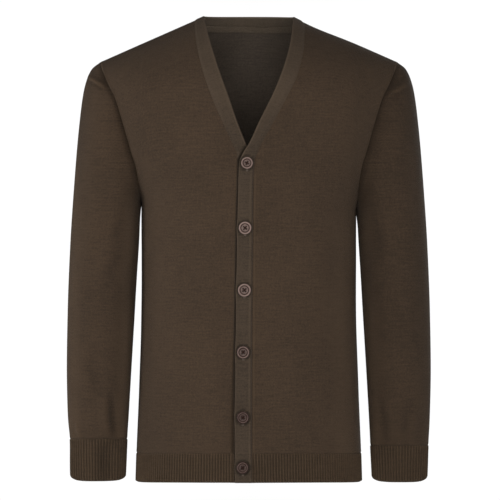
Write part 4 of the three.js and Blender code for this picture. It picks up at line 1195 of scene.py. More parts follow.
# %% The rib tree
def rib_tree():
    """Moves both faces of a wall out on every rib and in between them."""
    tree, start, end = new_group(
        "raise_ribs",
        [("Geometry", "NodeSocketGeometry", None), ("Relief", "NodeSocketFloat", 0.0009),
         ("Material", "NodeSocketMaterial", None)],
        [("Geometry", "NodeSocketGeometry")], "GeometryNodeTree",
    )
    phase = maths(tree, "MULTIPLY", stored_in(tree, "rib", "FLOAT"), 2 * math.pi)
    wave = maths(tree, "COSINE", phase)
    crest = maths(tree, "ADD", maths(tree, "MULTIPLY", wave, 0.5), 0.5)
    round_crest = maths(tree, "POWER", crest, 0.62)
    height = maths(tree, "SUBTRACT", round_crest, 0.5)
    height = maths(tree, "MULTIPLY", height, start.outputs["Relief"])
    height = maths(tree, "MULTIPLY", height, stored_in(tree, "rib_strength", "FLOAT"))
    move = tree.nodes.new("ShaderNodeVectorMath")
    move.operation = "SCALE"
    tree.links.new(stored_in(tree, "outward", "FLOAT_VECTOR"), move.inputs[0])
    tree.links.new(height, move.inputs["Scale"])
    place = tree.nodes.new("GeometryNodeSetPosition")
    tree.links.new(start.outputs["Geometry"], place.inputs["Geometry"])
    tree.links.new(move.outputs[0], place.inputs["Offset"])
    whole = tree.nodes.new("GeometryNodeRealizeInstances")
    tree.links.new(place.outputs[0], whole.inputs[0])
    send_out(tree, whole, start, end)
    return tree


def send_out(tree, made, start, end):
    """The last step of a tree: what it made gets its material and leaves."""
    colour = tree.nodes.new("GeometryNodeSetMaterial")
    tree.links.new(made.outputs[0], colour.inputs["Geometry"])
    tree.links.new(start.outputs["Material"], colour.inputs["Material"])
    tree.links.new(colour.outputs[0], end.inputs[0])


# %% From a tree to a plain mesh
def keep_result(piece):
    """Keeps what a piece's modifiers make of it as its mesh."""
    bpy.context.view_layer.update()
    graph = bpy.context.evaluated_depsgraph_get()
    made = bpy.data.meshes.new_from_object(piece.evaluated_get(graph), depsgraph=graph)
    piece.modifiers.clear()
    piece.data = made


def apply_tree(piece, tree, settings):
    """Runs a Geometry Nodes tree on a piece and keeps the result as its mesh."""
    modifier = piece.modifiers.new("make", "NODES")
    modifier.node_group = tree
    for item in tree.interface.items_tree:
        if item.in_out == "INPUT" and item.name in settings:
            modifier[item.identifier] = settings[item.name]
    keep_result(piece)


raise_ribs = rib_tree()
print("rib tree:", len(raise_ribs.nodes), "nodes")

# %% [markdown]
# ## Cuffs and hem
# The ribs are knitted in with the panels at the hem, and turn in a little at their ends, because a rib
# grips more than plain jersey does. Every cuff and every strip of the hem has a whole and even number
# of them, so that neighbours meet at the same point of a rib. Each rib has eight steps across.

# %% Ribbed tubes and strips
HEM_RIB_PITCH = 4.2
CUFF_RIB_PITCH = 4.4
RIB_WALL = 1.6
PER_RIB = 8
CUFF_SAMPLES = 721
HEM_SAMPLES = 1201
CUFF_RELIEF = 0.0017
HEM_RELIEF = 0.0019
rib_rows = np.array([0, 0.012, 0.03, 0.06, 0.1, 0.2, 0.32, 0.44, 0.56, 0.68, 0.78, 0.86, 0.91,
                     0.94, 0.96, 0.975, 0.986, 0.994, 1.0])


def ribbed(name, points, normals, ribs, wrapped, nodes, relief, soft=0.0):
    """A ribbed tube or strip: a plain wall first, then its ribs by the tree."""
    distance = edge_distance(points)
    columns = points.shape[1]
    count = columns if wrapped else columns - 1
    phase = np.broadcast_to(ribs * np.arange(columns) / count, points.shape[:2])
    strength = smoothstep(distance["top"], 0.2, 3.2)
    strength = strength * (0.45 + 0.55 * smoothstep(distance["bottom"], 0, 1.5))
    tuck = HEM_TUCK * smoothstep(rib_rows[:, None], 0.9, 1.0)
    if not wrapped:
        tuck = tuck * smoothstep(np.minimum(distance["left"], distance["right"]), 0, 7)
    lift = seam(distance["top"], 0.3, 0.1, 2.0, 1.0) - tuck + soft
    keep = rounding(distance["bottom"] + 0.05, RIB_WALL * 1.6)
    laid = np.concatenate([points, points[:, :1]], 1) if wrapped else points
    around = run(laid, 1)
    down = np.broadcast_to(run(settle(points), 0).mean(1)[:, None], around.shape)
    cloth = np.stack([around, -down], -1)
    edges = ["top"] if wrapped else ["top", "left", "right"]
    points = pull_in(points, edges)
    # Painted shade in the troughs of the cuff's creases and painted light on their ridges; none on the hem
    # strips.
    shade = np.broadcast_to(0.14 * np.clip(soft, -3.0, 2.0) * wrapped, phase.shape)
    piece = wall(name, points, normals, cloth, RIB_WALL, lift, keep, wrapped,
                 {"rib": phase, "rib_strength": strength, "outward": normals, "faded": shade})
    apply_tree(piece, raise_ribs, {"Relief": relief, "Material": rib_knit})
    dress(piece, rib_knit, nodes)


# %% Even ribs along a line
def even_places(places, count):
    """Parameters that cut a line of sampled points into even lengths."""
    lengths = np.concatenate([[0], np.cumsum(np.linalg.norm(np.diff(places, axis=0), axis=-1))])
    wanted = np.linspace(0, lengths[-1], count + 1)
    return np.interp(wanted, lengths, np.arange(len(places))), lengths[-1]


def rib_places(line, pitch):
    """An even number of ribs for a sampled line, and the parameters of their points on it."""
    length = even_places(line, 1)[1]
    ribs = 2 * round(length / pitch / 2)
    return ribs, even_places(line, ribs * PER_RIB)[0]


# %% The cuffs
for word, across in SIDES:
    turns = np.linspace(-np.pi, np.pi, CUFF_SAMPLES)
    middle = on_sleeve(across, turns % (2 * np.pi), 1 + CUFF_SHARE / 2)
    ribs, index = rib_places(middle, CUFF_RIB_PITCH)
    turn = np.interp(index, np.arange(CUFF_SAMPLES), turns)[:-1]
    at = 1 + CUFF_SHARE * rib_rows
    points = on_sleeve(across, (turn % (2 * np.pi))[None, :], at[:, None])
    to_side = np.abs(ring(turn)[0])[None, :] ** 5
    points[..., 2] += rib_rows[:, None] ** 3 * (3.9 * to_side + (1.4 if across < 0 else 0.0))
    normals = grid_normals(points, True)
    normals[..., 2] = 0
    normals = unit(normals)
    normals *= np.sign((normals * (points - points.mean(1, keepdims=True))).sum())
    soft = sleeve_creases(points, across) - 0.3
    ribbed(f"cuff_{word}_rib", points, normals, ribs, True, [f"cuff_{word}"], CUFF_RELIEF, soft)

# %% Hem ribs
HEM_LEVEL = -0.4


def hem_strip(side, start_x, stop_x, level):
    """Grid of one hem strip between two places on the body, and its number of ribs."""
    middle = HEM_SIDE_Z + HEM_RIB_HEIGHT / 2
    angles = np.linspace(angle_of(start_x, middle), angle_of(stop_x, middle), HEM_SAMPLES)
    line = on_body(x_of(angles, middle), middle, side)[0]
    ribs, index = rib_places(line, HEM_RIB_PITCH)
    angle = np.interp(index, np.arange(HEM_SAMPLES), angles)[None, :]
    guess = x_of(angle, middle)
    z = hem_height(guess, side) + HEM_RIB_HEIGHT * (1 - rib_rows[:, None])
    x = x_of(angle, z)
    if level:
        edge = level * edge_x(level, z)
        shift = (edge - x[:, :1]) * np.exp(-np.abs(x - x[:, :1]) / 30)
        x = x + shift
    points, normals = on_body(x, z, side)
    lift = 0.0 if level == 0 else front_level(level, x, z)[..., None]
    return points + normals * lift, normals, ribs


# %% The hem in three strips
hem_side = float(read(BODY, "half_width", HEM_SIDE_Z))
for word, across in SIDES:
    start = across * float(edge_x(across, HEM_SIDE_Z))
    strip = hem_strip(-1, start, across * hem_side, across)
    ribbed(f"hem_front_{word}_rib", *strip, False, [f"hem_rib_front_{word}"], HEM_RELIEF, HEM_LEVEL)
strip = hem_strip(1, hem_side, -hem_side, 0)
ribbed("hem_back_rib", *strip, False, ["hem_rib_back"], HEM_RELIEF, HEM_LEVEL)

# %% [markdown]
# ## Bands and neck tape
# The trim is a separate band of firm knit folded double, so its free edge is a soft round fold and its
# seam lies flat. Its stitches run along it. The fold carries a painted highlight, strongest round the V,
# where the whole band is painted a shade paler, and each button presses a dish into the band and has a
# ring of painted shadow round itself. A strip bent along one curve would get the fold right but not the
# seam, so the band is a grid between two lines, one for each edge.
# Its length of cloth is measured down a line near its middle.

# %% Band profile
BAND_WALL = 2.6
BAND_FOLD = 1.2 * BAND_WALL
BAND_WIDTH = 22.0
BAND_ROWS_BESIDE_RIB = 22
LENGTH_COLUMN = 12
band_across = np.concatenate([
    np.array([0, 0.4, 0.8, 1.2, 1.7, 2.3, 3.1, 4.2]) / BAND_WIDTH, np.linspace(0.25, 0.84, 14),
    1 - np.array([2.6, 1.9, 1.4, 1.0, 0.7, 0.45, 0.25, 0.1, 0.0]) / BAND_WIDTH,
])


# %% Grid of a front band
def front_band(across):
    """Grid of a front band, from its seam across to its free edge."""
    seam_z = edge_row(across, fine_rows)
    bottom = hem_height(edge_x(across, HEM_SIDE_Z), -1)
    beside_rib = np.linspace(seam_z[-1], bottom, BAND_ROWS_BESIDE_RIB)[1:]
    seam_z = np.concatenate([seam_z, beside_rib])[:, None]
    source = edge_table(across)
    u = band_across[None, :]
    free_x = read(source, "free_x", seam_z)
    if across > 0:
        near_button = np.exp(-((seam_z - BUTTONS["z"][None, :]) / 15) ** 2).sum(1, keepdims=True)
        free_x = free_x + smoothstep(-seam_z, 240, 300) * (0.35 - 1.1 * near_button)
    x = lerp(read(source, "seam_x", seam_z), free_x, u)
    z = lerp(seam_z, read(source, "free_z", seam_z), u)
    z = np.where(np.arange(len(seam_z))[:, None] == 0, ridge_height(x), z)
    points, normals = on_body(across * x, z, -1)
    return points, normals, x, z


# %% A band as a wall
def band(name, grid, level, start_level, placket, edges, nodes, extra_lift=0.0, shade=0.0):
    """A band of doubled knit. Its seam edge starts level with the panel that it is linked to."""
    points, normals, x, z = grid
    distance = edge_distance(points)
    open_end = "bottom" not in edges
    keep = rounding(distance["right"] + 0.02, BAND_FOLD)
    if open_end:
        keep = np.minimum(keep, rounding(distance["bottom"] + 0.02, BAND_FOLD))
    lift = lerp(start_level, level, smoothstep(distance["left"] / lerp(5.0, 1.3, firm_seam(z)), 0, 1))
    lift = lift + linked_seam(distance["left"], placket, 3.2) + extra_lift
    down = np.broadcast_to(distance["top"][:, LENGTH_COLUMN, None], x.shape)
    cloth = np.stack([distance["left"], -down], -1)
    points = pull_in(points, edges)
    # Painted light: a painted highlight on the fold of the free edge, strongest round the V, the whole band
    # a shade paler in the V, and painted highlights on the seam ridges below it.
    low = smoothstep(-z, 205, 235)
    edge = lerp(1.1, 0.25, low) * np.exp(-((distance["right"] - lerp(0.8, 0.0, low)) / 1.35) ** 2)
    faded = 0.3 * (1 - placket_share(z)) + (edge if open_end else 0.25 * edge)
    faded = faded + painted_ridge_highlight(distance["left"], placket) + shade
    piece = wall(name, points, normals, cloth, BAND_WALL, lift, keep, extra={"faded": faded})
    dress(piece, band_knit, nodes, band_reverse)


# %% Dishes and painted shadows of the buttons
def from_buttons(x, z):
    """How far a place is from the middle of each button."""
    return np.hypot(x[..., None] - BUTTONS["x"], z[..., None] - BUTTONS["z"])


def button_dimples(x, z):
    """A button drawn tight by its thread presses a shallow dish into the band under it."""
    return -0.75 * np.exp(-(from_buttons(x, z) / 9.8) ** 4).sum(-1)


def painted_button_shadows(x, z):
    """A ring of painted shadow on the band round each button."""
    return -1.1 * np.exp(-((from_buttons(x, z) - 10.4) / 1.2) ** 2).sum(-1)


# %% The two front bands
for word, across in BANDS:
    grid = front_band(across)
    x, z = grid[2] * across, grid[3]
    upper = across > 0
    placket = firm_seam(z) if upper else 0.0
    sunk = button_dimples(x, z) if upper else under_lap(x, z)
    # The upper band gets painted shadows round its buttons; the lower band painted highlights on the V's
    # puckers and painted shade under the lap.
    shade = painted_button_shadows(x, z) if upper else painted_pucker_highlights(x, z) + painted_lap_shade(x, z)
    band(f"{word}_band_knit", grid, band_level(across, z), seam_level(across, z), placket,
         ["top", "left"], [f"band_{word}"], sunk, shade)

# %% The back neck band
share = np.sin(np.pi * np.linspace(-0.5, 0.5, 97))[:, None]
u = band_across[None, :]
x = lerp(NECK_SEAM_X * share, NECK_X * share, u)
z = lerp(neck_seam_height(NECK_SEAM_X * share), NECK_TOP_Z + NECK_BACK_RISE * (1 - share ** 2), u)
z = np.where(np.abs(share) == 1, ridge_height(x), z)
points, normals = on_body(x, z, 1)
band("back_neck_band_knit", (points, normals, x, z), BAND_PROUD, 0.0, 0.0, ["top", "bottom", "left"],
     ["band_back_neck"])

# %% [markdown]
# A woven tape covers the seam of that band on the inside, where the bare seam would rub the neck. It
# could be a strip with a picture of a weave. A thin wall on the same surface is as easy, has real
# edges, and can run a little unevenly, as a tape does that was sewn on by eye.

# %% The neck tape
TAPE_WALL = 0.8
TAPE_LEVEL = -3.0
TAPE_ROWS = 13
TAPE_COLUMNS = 73


def tape_height(x, down):
    """Height of the tape, a little high at one side of the neck and low at the other."""
    return TAPE_TOP_Z - down + 0.8 * np.exp(-((x + 20) / 12) ** 2) - 0.8 * np.exp(-((x - 24) / 14) ** 2)


share = np.sin(np.pi * np.linspace(-1 / 3, 1 / 3, TAPE_COLUMNS))[None, :]
x = np.broadcast_to(NECK_SEAM_X * share, (TAPE_ROWS, TAPE_COLUMNS))
z = tape_height(x, TAPE_HEIGHT * np.linspace(0, 1, TAPE_ROWS)[:, None])
points, normals = on_body(x, z, 1)
distance = edge_distance(points)
cloth = np.stack([distance["left"], -distance["top"]], -1)
keep = rounding(distance["bottom"] + 0.05, TAPE_WALL)
tape = wall("back_neck_tape", points, normals, cloth, TAPE_WALL, TAPE_LEVEL, keep)
dress(tape, tape_weave, ["neck_tape"])

# %% [markdown]
# ## Buttons
# Each button is a turned disc of resin: a rounded rim, a groove, a flat middle and four holes. It is
# turned on a lathe from one profile and drilled, as the real one is. Faces modelled round each hole
# by hand would be slower to make round. The upper buttons are pale and the lower ones dark, perhaps
# from use, perhaps from another batch of resin, so each carries its own tone. Each also carries a
# painted highlight on its rim and painted shade in its groove, round its holes and on its foot.

# %% Button material
def resin_material():
    """Cloudy resin in two shades, set by the tone and the painted light that each point of a button
    carries.
    """
    material, tree, shader = new_material("mauve_brown_resin")
    place = tree.nodes.new("ShaderNodeTexCoord")
    clouds = noise(tree, place.outputs["Object"], 260.0, 4.0, 0.6)
    shade = maths(tree, "MULTIPLY", maths(tree, "SUBTRACT", clouds, 0.5), 0.35)
    shade = maths(tree, "ADD", shade, stored(tree, "worn"), clamp=True)
    two_shades(tree, shader, shade, (0.0160, 0.0066, 0.0045), (0.150, 0.106, 0.090))
    relief = bump(tree, clouds, 0.00005, 0.3)
    tree.links.new(relief.outputs[0], shader.inputs["Normal"])
    shader.inputs["Roughness"].default_value = 0.45
    shader.inputs["Specular IOR Level"].default_value = 0.1
    return material


resin = resin_material()
print("button material:", resin.name)

# %% Turning and drilling
BUTTON_RADIUS = 9.0
BUTTON_THICKNESS = 2.9
BUTTON_SEAT = 0.35
BUTTON_SIDES = 72
DRILL_SIDES = 24
BUTTON_TURNS = (20, 4, -6, 2, 8, -5)
BUTTON_WIDTHS = (0.98, 1.06, 1.08, 1.06, 1.03, 1.03)
BATCH = (0.92, 1.12, 1.06, 0.68, 0.42, 0.40)
HOLE_OFFSET = 1.9
DRILL = [(0, -1), (0.95, -1), (0.95, 1.62), (1.02, 1.8), (1.2, 1.93), (1.6, 2.1), (1.6, 4), (0, 4)]
HANGING_TILT = 16.0
HANGING_LIFT = 2.1


def turned(name, profile, sides):
    """A closed body of revolution from a profile that starts and ends on the axis."""
    angle = np.linspace(0, 2 * np.pi, sides, endpoint=False)
    rings = [np.stack([r * np.cos(angle), r * np.sin(angle), np.full(sides, h)], -1)
             for r, h in profile[1:-1]]
    vertices = np.concatenate([[[0, 0, profile[0][1]]], *rings, [[0, 0, profile[-1][1]]]])
    faces = []
    for k in range(sides):
        after = (k + 1) % sides
        faces.append((0, 1 + after, 1 + k))
        for ring_number in range(len(rings) - 1):
            a = 1 + ring_number * sides
            faces.append((a + k, a + after, a + sides + after, a + sides + k))
        last = 1 + (len(rings) - 1) * sides
        faces.append((last + k, last + after, len(vertices) - 1))
    mesh = bpy.data.meshes.new(name)
    mesh.from_pydata((vertices * MM).tolist(), [], faces)
    return put_in_scene(name, mesh)


# %% The profile of a button
def button_profile():
    """Back, rounded rim, groove and dished middle, from the axis out and back."""
    rim = [(BUTTON_RADIUS - 0.9 + 0.9 * math.sin(a), 0.9 - 0.9 * math.cos(a) + 0.15)
           for a in np.linspace(0.2, math.pi / 2, 7)]
    top = [(BUTTON_RADIUS - 1.25 + 1.25 * math.cos(a), BUTTON_THICKNESS - 1.1 + 1.1 * math.sin(a))
           for a in np.linspace(0.05, math.pi * 0.72, 12)]
    dish = [(6.55, 2.2), (6.3, 1.85), (6.05, 1.55), (5.8, 1.42), (5.55, 1.5), (5.3, 1.78), (5.05, 1.93),
            (4.6, 1.98), (3.8, 1.9), (3.2, 1.72), (2.4, 1.66), (1.0, 1.64)]
    return [(0, 0.05), (3.0, 0.05), (7.4, 0.1), *rim, *top, *dish, (0, 1.64)]


# %% Tone and painted light of a button
def button_tone_and_painted_light(mesh, batch):
    """Stores the tone of each point of a button: the shade of its batch, a painted highlight on the rim,
    and painted shade in the groove, round the holes and on the foot.
    """
    places = np.empty(len(mesh.vertices) * 3)
    mesh.vertices.foreach_get("co", places)
    places = places.reshape(-1, 3) / MM
    radius = np.hypot(places[:, 0], places[:, 1])
    pale = smoothstep(np.array(batch), 0.4, 0.9)
    groove = np.exp(-((radius - 5.7) / 0.7) ** 2)
    rim = np.exp(-((radius - lerp(6.9, 7.9, pale)) / 0.75) ** 2)
    outer = smoothstep(radius, lerp(7.2, 8.4, pale), lerp(8.2, 8.9, pale))
    foot = np.maximum(1 - smoothstep(places[:, 2], 0.9, 2.0), outer)
    to_hole = np.abs(places[:, :2]) - HOLE_OFFSET
    hole = np.exp(-(np.hypot(to_hole[:, 0], to_hole[:, 1]) / 1.3) ** 2)
    # Painted highlight on the rim; painted shade in the groove, round the holes and on the foot; the batch
    # sets the tone.
    worn = 0.64 + 0.36 * rim - 0.6 * groove - lerp(1.5, 0.7, pale) * foot - 0.6 * hole
    worn = np.clip(worn * batch, 0, 1)
    attribute = mesh.attributes.new("worn", "FLOAT", "POINT")
    attribute.data.foreach_set("value", worn)


# %% Four holes
def drilled_button():
    """Cuts the four holes one after the other and gives the finished mesh."""
    body = turned("button_blank", button_profile(), BUTTON_SIDES)
    for sx in (-1, 1):
        for sy in (-1, 1):
            drill = turned("drill", DRILL, DRILL_SIDES)
            drill.data.transform(Matrix.Translation(Vector((sx, sy, 0)) * HOLE_OFFSET * MM))
            cut = body.modifiers.new("drill", "BOOLEAN")
            cut.object = drill
            cut.operation = "DIFFERENCE"
            cut.solver = "EXACT"
            keep_result(body)
            bpy.data.objects.remove(drill)
    mesh = body.data
    bpy.data.objects.remove(body)
    return mesh


button_mesh = drilled_button()
print("button:", len(button_mesh.polygons), "faces")

# %% Buttons in their places
# The lowest button hangs by a long thread, tilted and clear of the band.
seats = []
for number, (bz, bx) in enumerate(sorted(zip(BUTTONS["z"], BUTTONS["x"]), reverse=True), 1):
    place, normal = on_body(bx, bz, -1)
    hanging = number == len(BUTTONS["z"])
    lift = UPPER_BAND_LEVEL + BUTTON_SEAT + (HANGING_LIFT if hanging else 0)
    seat = Vector((place + normal * lift) * MM)
    turn = Vector((0, 0, 1)).rotation_difference(Vector(normal)).to_matrix().to_4x4()
    turn = turn @ Matrix.Rotation(math.radians(BUTTON_TURNS[number - 1]), 4, "Z")
    if hanging:
        turn = Matrix.Rotation(math.radians(-HANGING_TILT), 4, Vector((1, 0, 1)).normalized()) @ turn
    mesh = button_mesh.copy()
    button_tone_and_painted_light(mesh, BATCH[number - 1])
    width = BUTTON_WIDTHS[number - 1]
    mesh.transform(Matrix.Translation(seat) @ turn @ Matrix.Diagonal((width, width, 1.0, 1.0)))
    mesh.polygons.foreach_set("use_smooth", [True] * len(mesh.polygons))
    mesh.set_sharp_from_angle(angle=math.radians(38))
    piece = put_in_scene(f"button_{number}_resin", mesh)
    dress(piece, resin, [f"button_{number}"])
    seats.append(Matrix.Translation(seat) @ turn)
print("buttons sewn on:", len(seats))

# %% [markdown]
# ## Sewing
# Thread is what holds the pieces together, and it shows wherever a hand comes close: a cross in each
# button, a bar at each end of a buttonhole, the chain that links a band on, two rows on the neck tape.
# A stitch is a small plump shape laid again and again, so a Geometry Nodes tree lays them: one on each
# point, along that point's own direction, a little unevenly from a fixed seed.

# %% Thread
def thread_finish(name, dark, light, shine=0.25):
    """Spun thread: two shades, a fine twist in its relief and a soft face."""
    material, tree, shader = new_material(name)
    place = tree.nodes.new("ShaderNodeTexCoord")
    twist = noise(tree, place.outputs["Object"], 1900.0, 2.0, 0.6)
    two_shades(tree, shader, twist, dark, light)
    relief = bump(tree, twist, 0.0001, 0.6)
    tree.links.new(relief.outputs[0], shader.inputs["Normal"])
    shader.inputs["Roughness"].default_value = 0.8
    shader.inputs["Specular IOR Level"].default_value = shine
    shader.inputs["Sheen Weight"].default_value = 0.15 * shine
    return material


button_thread = thread_finish(
    "dark_button_thread", (0.0080, 0.0034, 0.0024), (0.022, 0.0105, 0.0078), shine=0.03)
band_thread = thread_finish("band_linking_thread", (0.030, 0.0200, 0.0130), (0.058, 0.0395, 0.0265))
pale_thread = thread_finish("buttonhole_thread", (0.036, 0.0250, 0.0180), (0.070, 0.0500, 0.0370))
tape_thread = thread_finish("tape_sewing_thread", (0.045, 0.0340, 0.0250), (0.085, 0.0650, 0.0480))

# %% The stitch tree
def stitch_tree():
    """Lays one plump stitch on every point, turned along the stored directions."""
    tree, start, end = new_group(
        "lay_stitches",
        [("Geometry", "NodeSocketGeometry", None), ("Length", "NodeSocketFloat", 0.002),
         ("Thickness", "NodeSocketFloat", 0.0006), ("Unevenness", "NodeSocketFloat", 0.06),
         ("Seed", "NodeSocketInt", 4), ("Material", "NodeSocketMaterial", None)],
        [("Geometry", "NodeSocketGeometry")], "GeometryNodeTree",
    )
    plump = tree.nodes.new("GeometryNodeMeshIcoSphere")
    plump.inputs["Radius"].default_value = 0.5
    plump.inputs["Subdivisions"].default_value = 2
    along = stored_in(tree, "along", "FLOAT_VECTOR")
    outward = stored_in(tree, "outward", "FLOAT_VECTOR")
    first = tree.nodes.new("FunctionNodeAlignRotationToVector")
    first.axis = "Z"
    tree.links.new(along, first.inputs["Vector"])
    second = tree.nodes.new("FunctionNodeAlignRotationToVector")
    second.axis = "X"
    second.pivot_axis = "Z"
    tree.links.new(first.outputs[0], second.inputs["Rotation"])
    tree.links.new(outward, second.inputs["Vector"])
    chance = tree.nodes.new("FunctionNodeRandomValue")
    chance.data_type = "FLOAT"
    values = [socket for socket in chance.inputs if socket.enabled]
    tree.links.new(maths(tree, "SUBTRACT", 1.0, start.outputs["Unevenness"]), values[0])
    tree.links.new(maths(tree, "ADD", 1.0, start.outputs["Unevenness"]), values[1])
    tree.links.new(start.outputs["Seed"], chance.inputs["Seed"])
    size = tree.nodes.new("ShaderNodeCombineXYZ")
    drawn = [socket for socket in chance.outputs if socket.enabled][0]
    length = maths(tree, "MULTIPLY", start.outputs["Length"], drawn)
    tree.links.new(start.outputs["Thickness"], size.inputs[0])
    tree.links.new(start.outputs["Thickness"], size.inputs[1])
    tree.links.new(length, size.inputs[2])
    lay = tree.nodes.new("GeometryNodeInstanceOnPoints")
    tree.links.new(start.outputs["Geometry"], lay.inputs["Points"])
    tree.links.new(plump.outputs[0], lay.inputs["Instance"])
    tree.links.new(second.outputs[0], lay.inputs["Rotation"])
    tree.links.new(size.outputs[0], lay.inputs["Scale"])
    whole = tree.nodes.new("GeometryNodeRealizeInstances")
    tree.links.new(lay.outputs[0], whole.inputs[0])
    soft = tree.nodes.new("GeometryNodeSetShadeSmooth")
    tree.links.new(whole.outputs[0], soft.inputs["Geometry"])
    send_out(tree, soft, start, end)
    return tree


lay_stitches = stitch_tree()
print("stitch tree:", len(lay_stitches.nodes), "nodes")


# %% Laying stitches
def sew(name, places, along, outward, length, thickness, material, slot):
    """Stitches as one piece: their places in metres, their directions and their size in millimetres."""
    mesh = bpy.data.meshes.new(name)
    mesh.from_pydata(np.asarray(places).tolist(), [], [])
    for label, values in (("along", along), ("outward", outward)):
        attribute = mesh.attributes.new(label, "FLOAT_VECTOR", "POINT")
        attribute.data.foreach_set("vector", np.asarray(values, float).ravel())
    piece = put_in_scene(name, mesh)
    size = {"Length": length * MM, "Thickness": thickness * MM}
    apply_tree(piece, lay_stitches, {**size, "Material": material})
    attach(piece, "root")
    print(f"{name}: {len(places)} stitches, {len(piece.data.polygons)} triangles")


# %% [markdown]
# The cross in each button is two pairs of strands. A short fat stitch under the button stands for its
# wound shank, which leaves room for the cloth of the buttonhole. Strands bent over the rim of each
# hole would be nearer to real thread, but the holes hide their ends.

# %% Thread crosses and shanks
CROSS_LENGTH = 6.4
CROSS_HEIGHT = 1.78
SHANK_LENGTH = 5.6
SHANK_DEPTH = -1.2
HANGING_SHANK_DEPTH = -1.9
STRAND_APART = 0.42


def button_threads():
    """Two crossed pairs of strands on every button, and the shank that holds it off the band."""
    places, along, outward = [], [], []
    shanks = []
    for number, seat in enumerate(seats, 1):
        spin = seat.to_3x3()
        for direction, side in (((1, 1, 0), (-1, 1, 0)), ((1, -1, 0), (1, 1, 0))):
            for strand in (-STRAND_APART, STRAND_APART):
                aside = Vector(side).normalized() * strand
                places.append(seat @ ((aside + Vector((0, 0, CROSS_HEIGHT))) * MM))
                along.append(spin @ Vector(direction).normalized())
                outward.append(spin @ Vector((0, 0, 1)))
        depth = SHANK_DEPTH if number < len(seats) else HANGING_SHANK_DEPTH
        foot = seat @ (Vector((0, 0, depth)) * MM)
        shanks.append((foot, spin @ Vector((0, 0, 1)), spin @ Vector((1, 0, 0))))
    sew("button_thread_crosses", places, along, outward, CROSS_LENGTH, 0.95, button_thread, "button")
    sew("button_thread_shanks", *map(list, zip(*shanks)), SHANK_LENGTH, 2.4, button_thread, "button")


button_threads()

# %% [markdown]
# A buttonhole is a slit that close stitches keep from fraying. The slit itself stays shut behind its
# button, so it needn't be cut through the wall: the stitches beside it and the two bars are what shows.

# %% Buttonholes
SLIT_FROM = -10.8
SLIT_TO = 7.8
SLIT_BARS = (-11.4, 8.2)
SLIT_STEP = 0.62
SLIT_LIP = 0.85


def buttonholes():
    """A buttonhole is edged with close stitches on both sides and closed by a bar at each end."""
    places, along, outward = [], [], []
    for bz, bx in zip(BUTTONS["z"], BUTTONS["x"]):
        down_the_slit = np.arange(bz + SLIT_FROM, bz + SLIT_TO, SLIT_STEP)
        rows = [(bx + side * SLIT_LIP, z, 1) for z in down_the_slit for side in (-1, 1)]
        rows += [(bx + off, bz + bar, 0) for off in np.arange(-1.5, 1.6, 0.6) for bar in SLIT_BARS]
        for x, z, is_across in rows:
            place, normal = on_body(x, z, -1)
            level = UPPER_BAND_LEVEL + float(button_dimples(np.array(x), np.array(z))) + 0.1
            places.append(settle(place + normal * level) * MM)
            along.append((1, 0, 0) if is_across else (0, 0, 1))
            outward.append(normal)
    sew("buttonhole_stitches", places, along, outward, 1.7, 0.62, pale_thread, "band")


buttonholes()

# %% [markdown]
# The linking chain shows as a line of small slanting loops in the groove of the seam. Rings of bent
# thread would cost many thousands of faces and look the same at this size, so each loop is one plump
# stitch, slanted to one side and the other by turns.

# %% The chain along the bands
CHAIN_SAMPLES = 1500
CHAIN_PITCH = 2.1


def linking_chain(word, across):
    """Loops of thread in the groove between a front and its band."""
    z = np.linspace(-8.0, hem_height(0.0, -1) + 2, CHAIN_SAMPLES)
    x = edge_x(across, z) * across
    line, normals = on_body(x, z, -1)
    count = round(even_places(line, 1)[1] / CHAIN_PITCH)
    index = even_places(line, count)[0]
    z = np.interp(index, np.arange(CHAIN_SAMPLES), z)
    x = edge_x(across, z) * across
    line, normals = on_body(x, z, -1)
    level = seam_level(across, z) + (0.0 if across > 0 else under_lap(x, z))
    forward = unit(np.gradient(line, axis=0))
    sideways = unit(np.cross(normals, forward))
    slant = forward + sideways * 0.45 * (-1.0) ** np.arange(len(line))[:, None]
    level = level - lerp(0.42, 0.22, firm_seam(z))
    places = settle(line + normals * level[:, None]) * MM
    sew(f"{word}_band_linking", places, unit(slant), normals, 2.5, 0.62, band_thread, "band")


for word, across in BANDS:
    linking_chain(word, across)

# %% Two rows on the neck tape
TAPE_MARGIN = 1.3


def tape_rows():
    """Two rows of machine stitches, just inside the tape's long edges, on the face that shows."""
    places, normals = [], []
    for down in (TAPE_MARGIN, TAPE_HEIGHT - TAPE_MARGIN):
        x = np.linspace(-66, 66, 52)
        line, out = on_body(x, tape_height(x, down), 1)
        places.append(settle(line + out * (TAPE_LEVEL - TAPE_WALL - 0.02)) * MM)
        normals.append(out)
    places, normals = np.concatenate(places), np.concatenate(normals)
    along = unit(np.cross(normals, (0, 0, 1)))
    sew("neck_tape_stitches", places, along, normals, 1.9, 0.42, tape_thread, "tape")


tape_rows()

# %% [markdown]
# ## Studio
# A plain pale floor under the garment, a pale surround and soft lamps: dark knit needs even light, or
# its folds turn black. The surround glows at both sides and in front, a white card stands behind the
# garment, and the main lamp stands to one side, so that the form still shows.

# %% The floor
FLOOR_BELOW = 0.32
floor_mesh = bpy.data.meshes.new("floor")
floor_mesh.from_pydata([(-4, -4, 0), (4, -4, 0), (4, 4, 0), (-4, 4, 0)], [], [(0, 1, 2, 3)])
floor_mesh.transform(Matrix.Translation((0, 0, float(cad_low.z) - FLOOR_BELOW)))
floor = put_in_scene("floor", floor_mesh)
floor_paint, _, floor_shader = new_material("floor_paint")
floor_shader.inputs["Base Color"].default_value = (0.9, 0.9, 0.9, 1)
floor_shader.inputs["Roughness"].default_value = 0.8
floor_mesh.materials.append(floor_paint)
print("floor below the hem:", FLOOR_BELOW, "m")

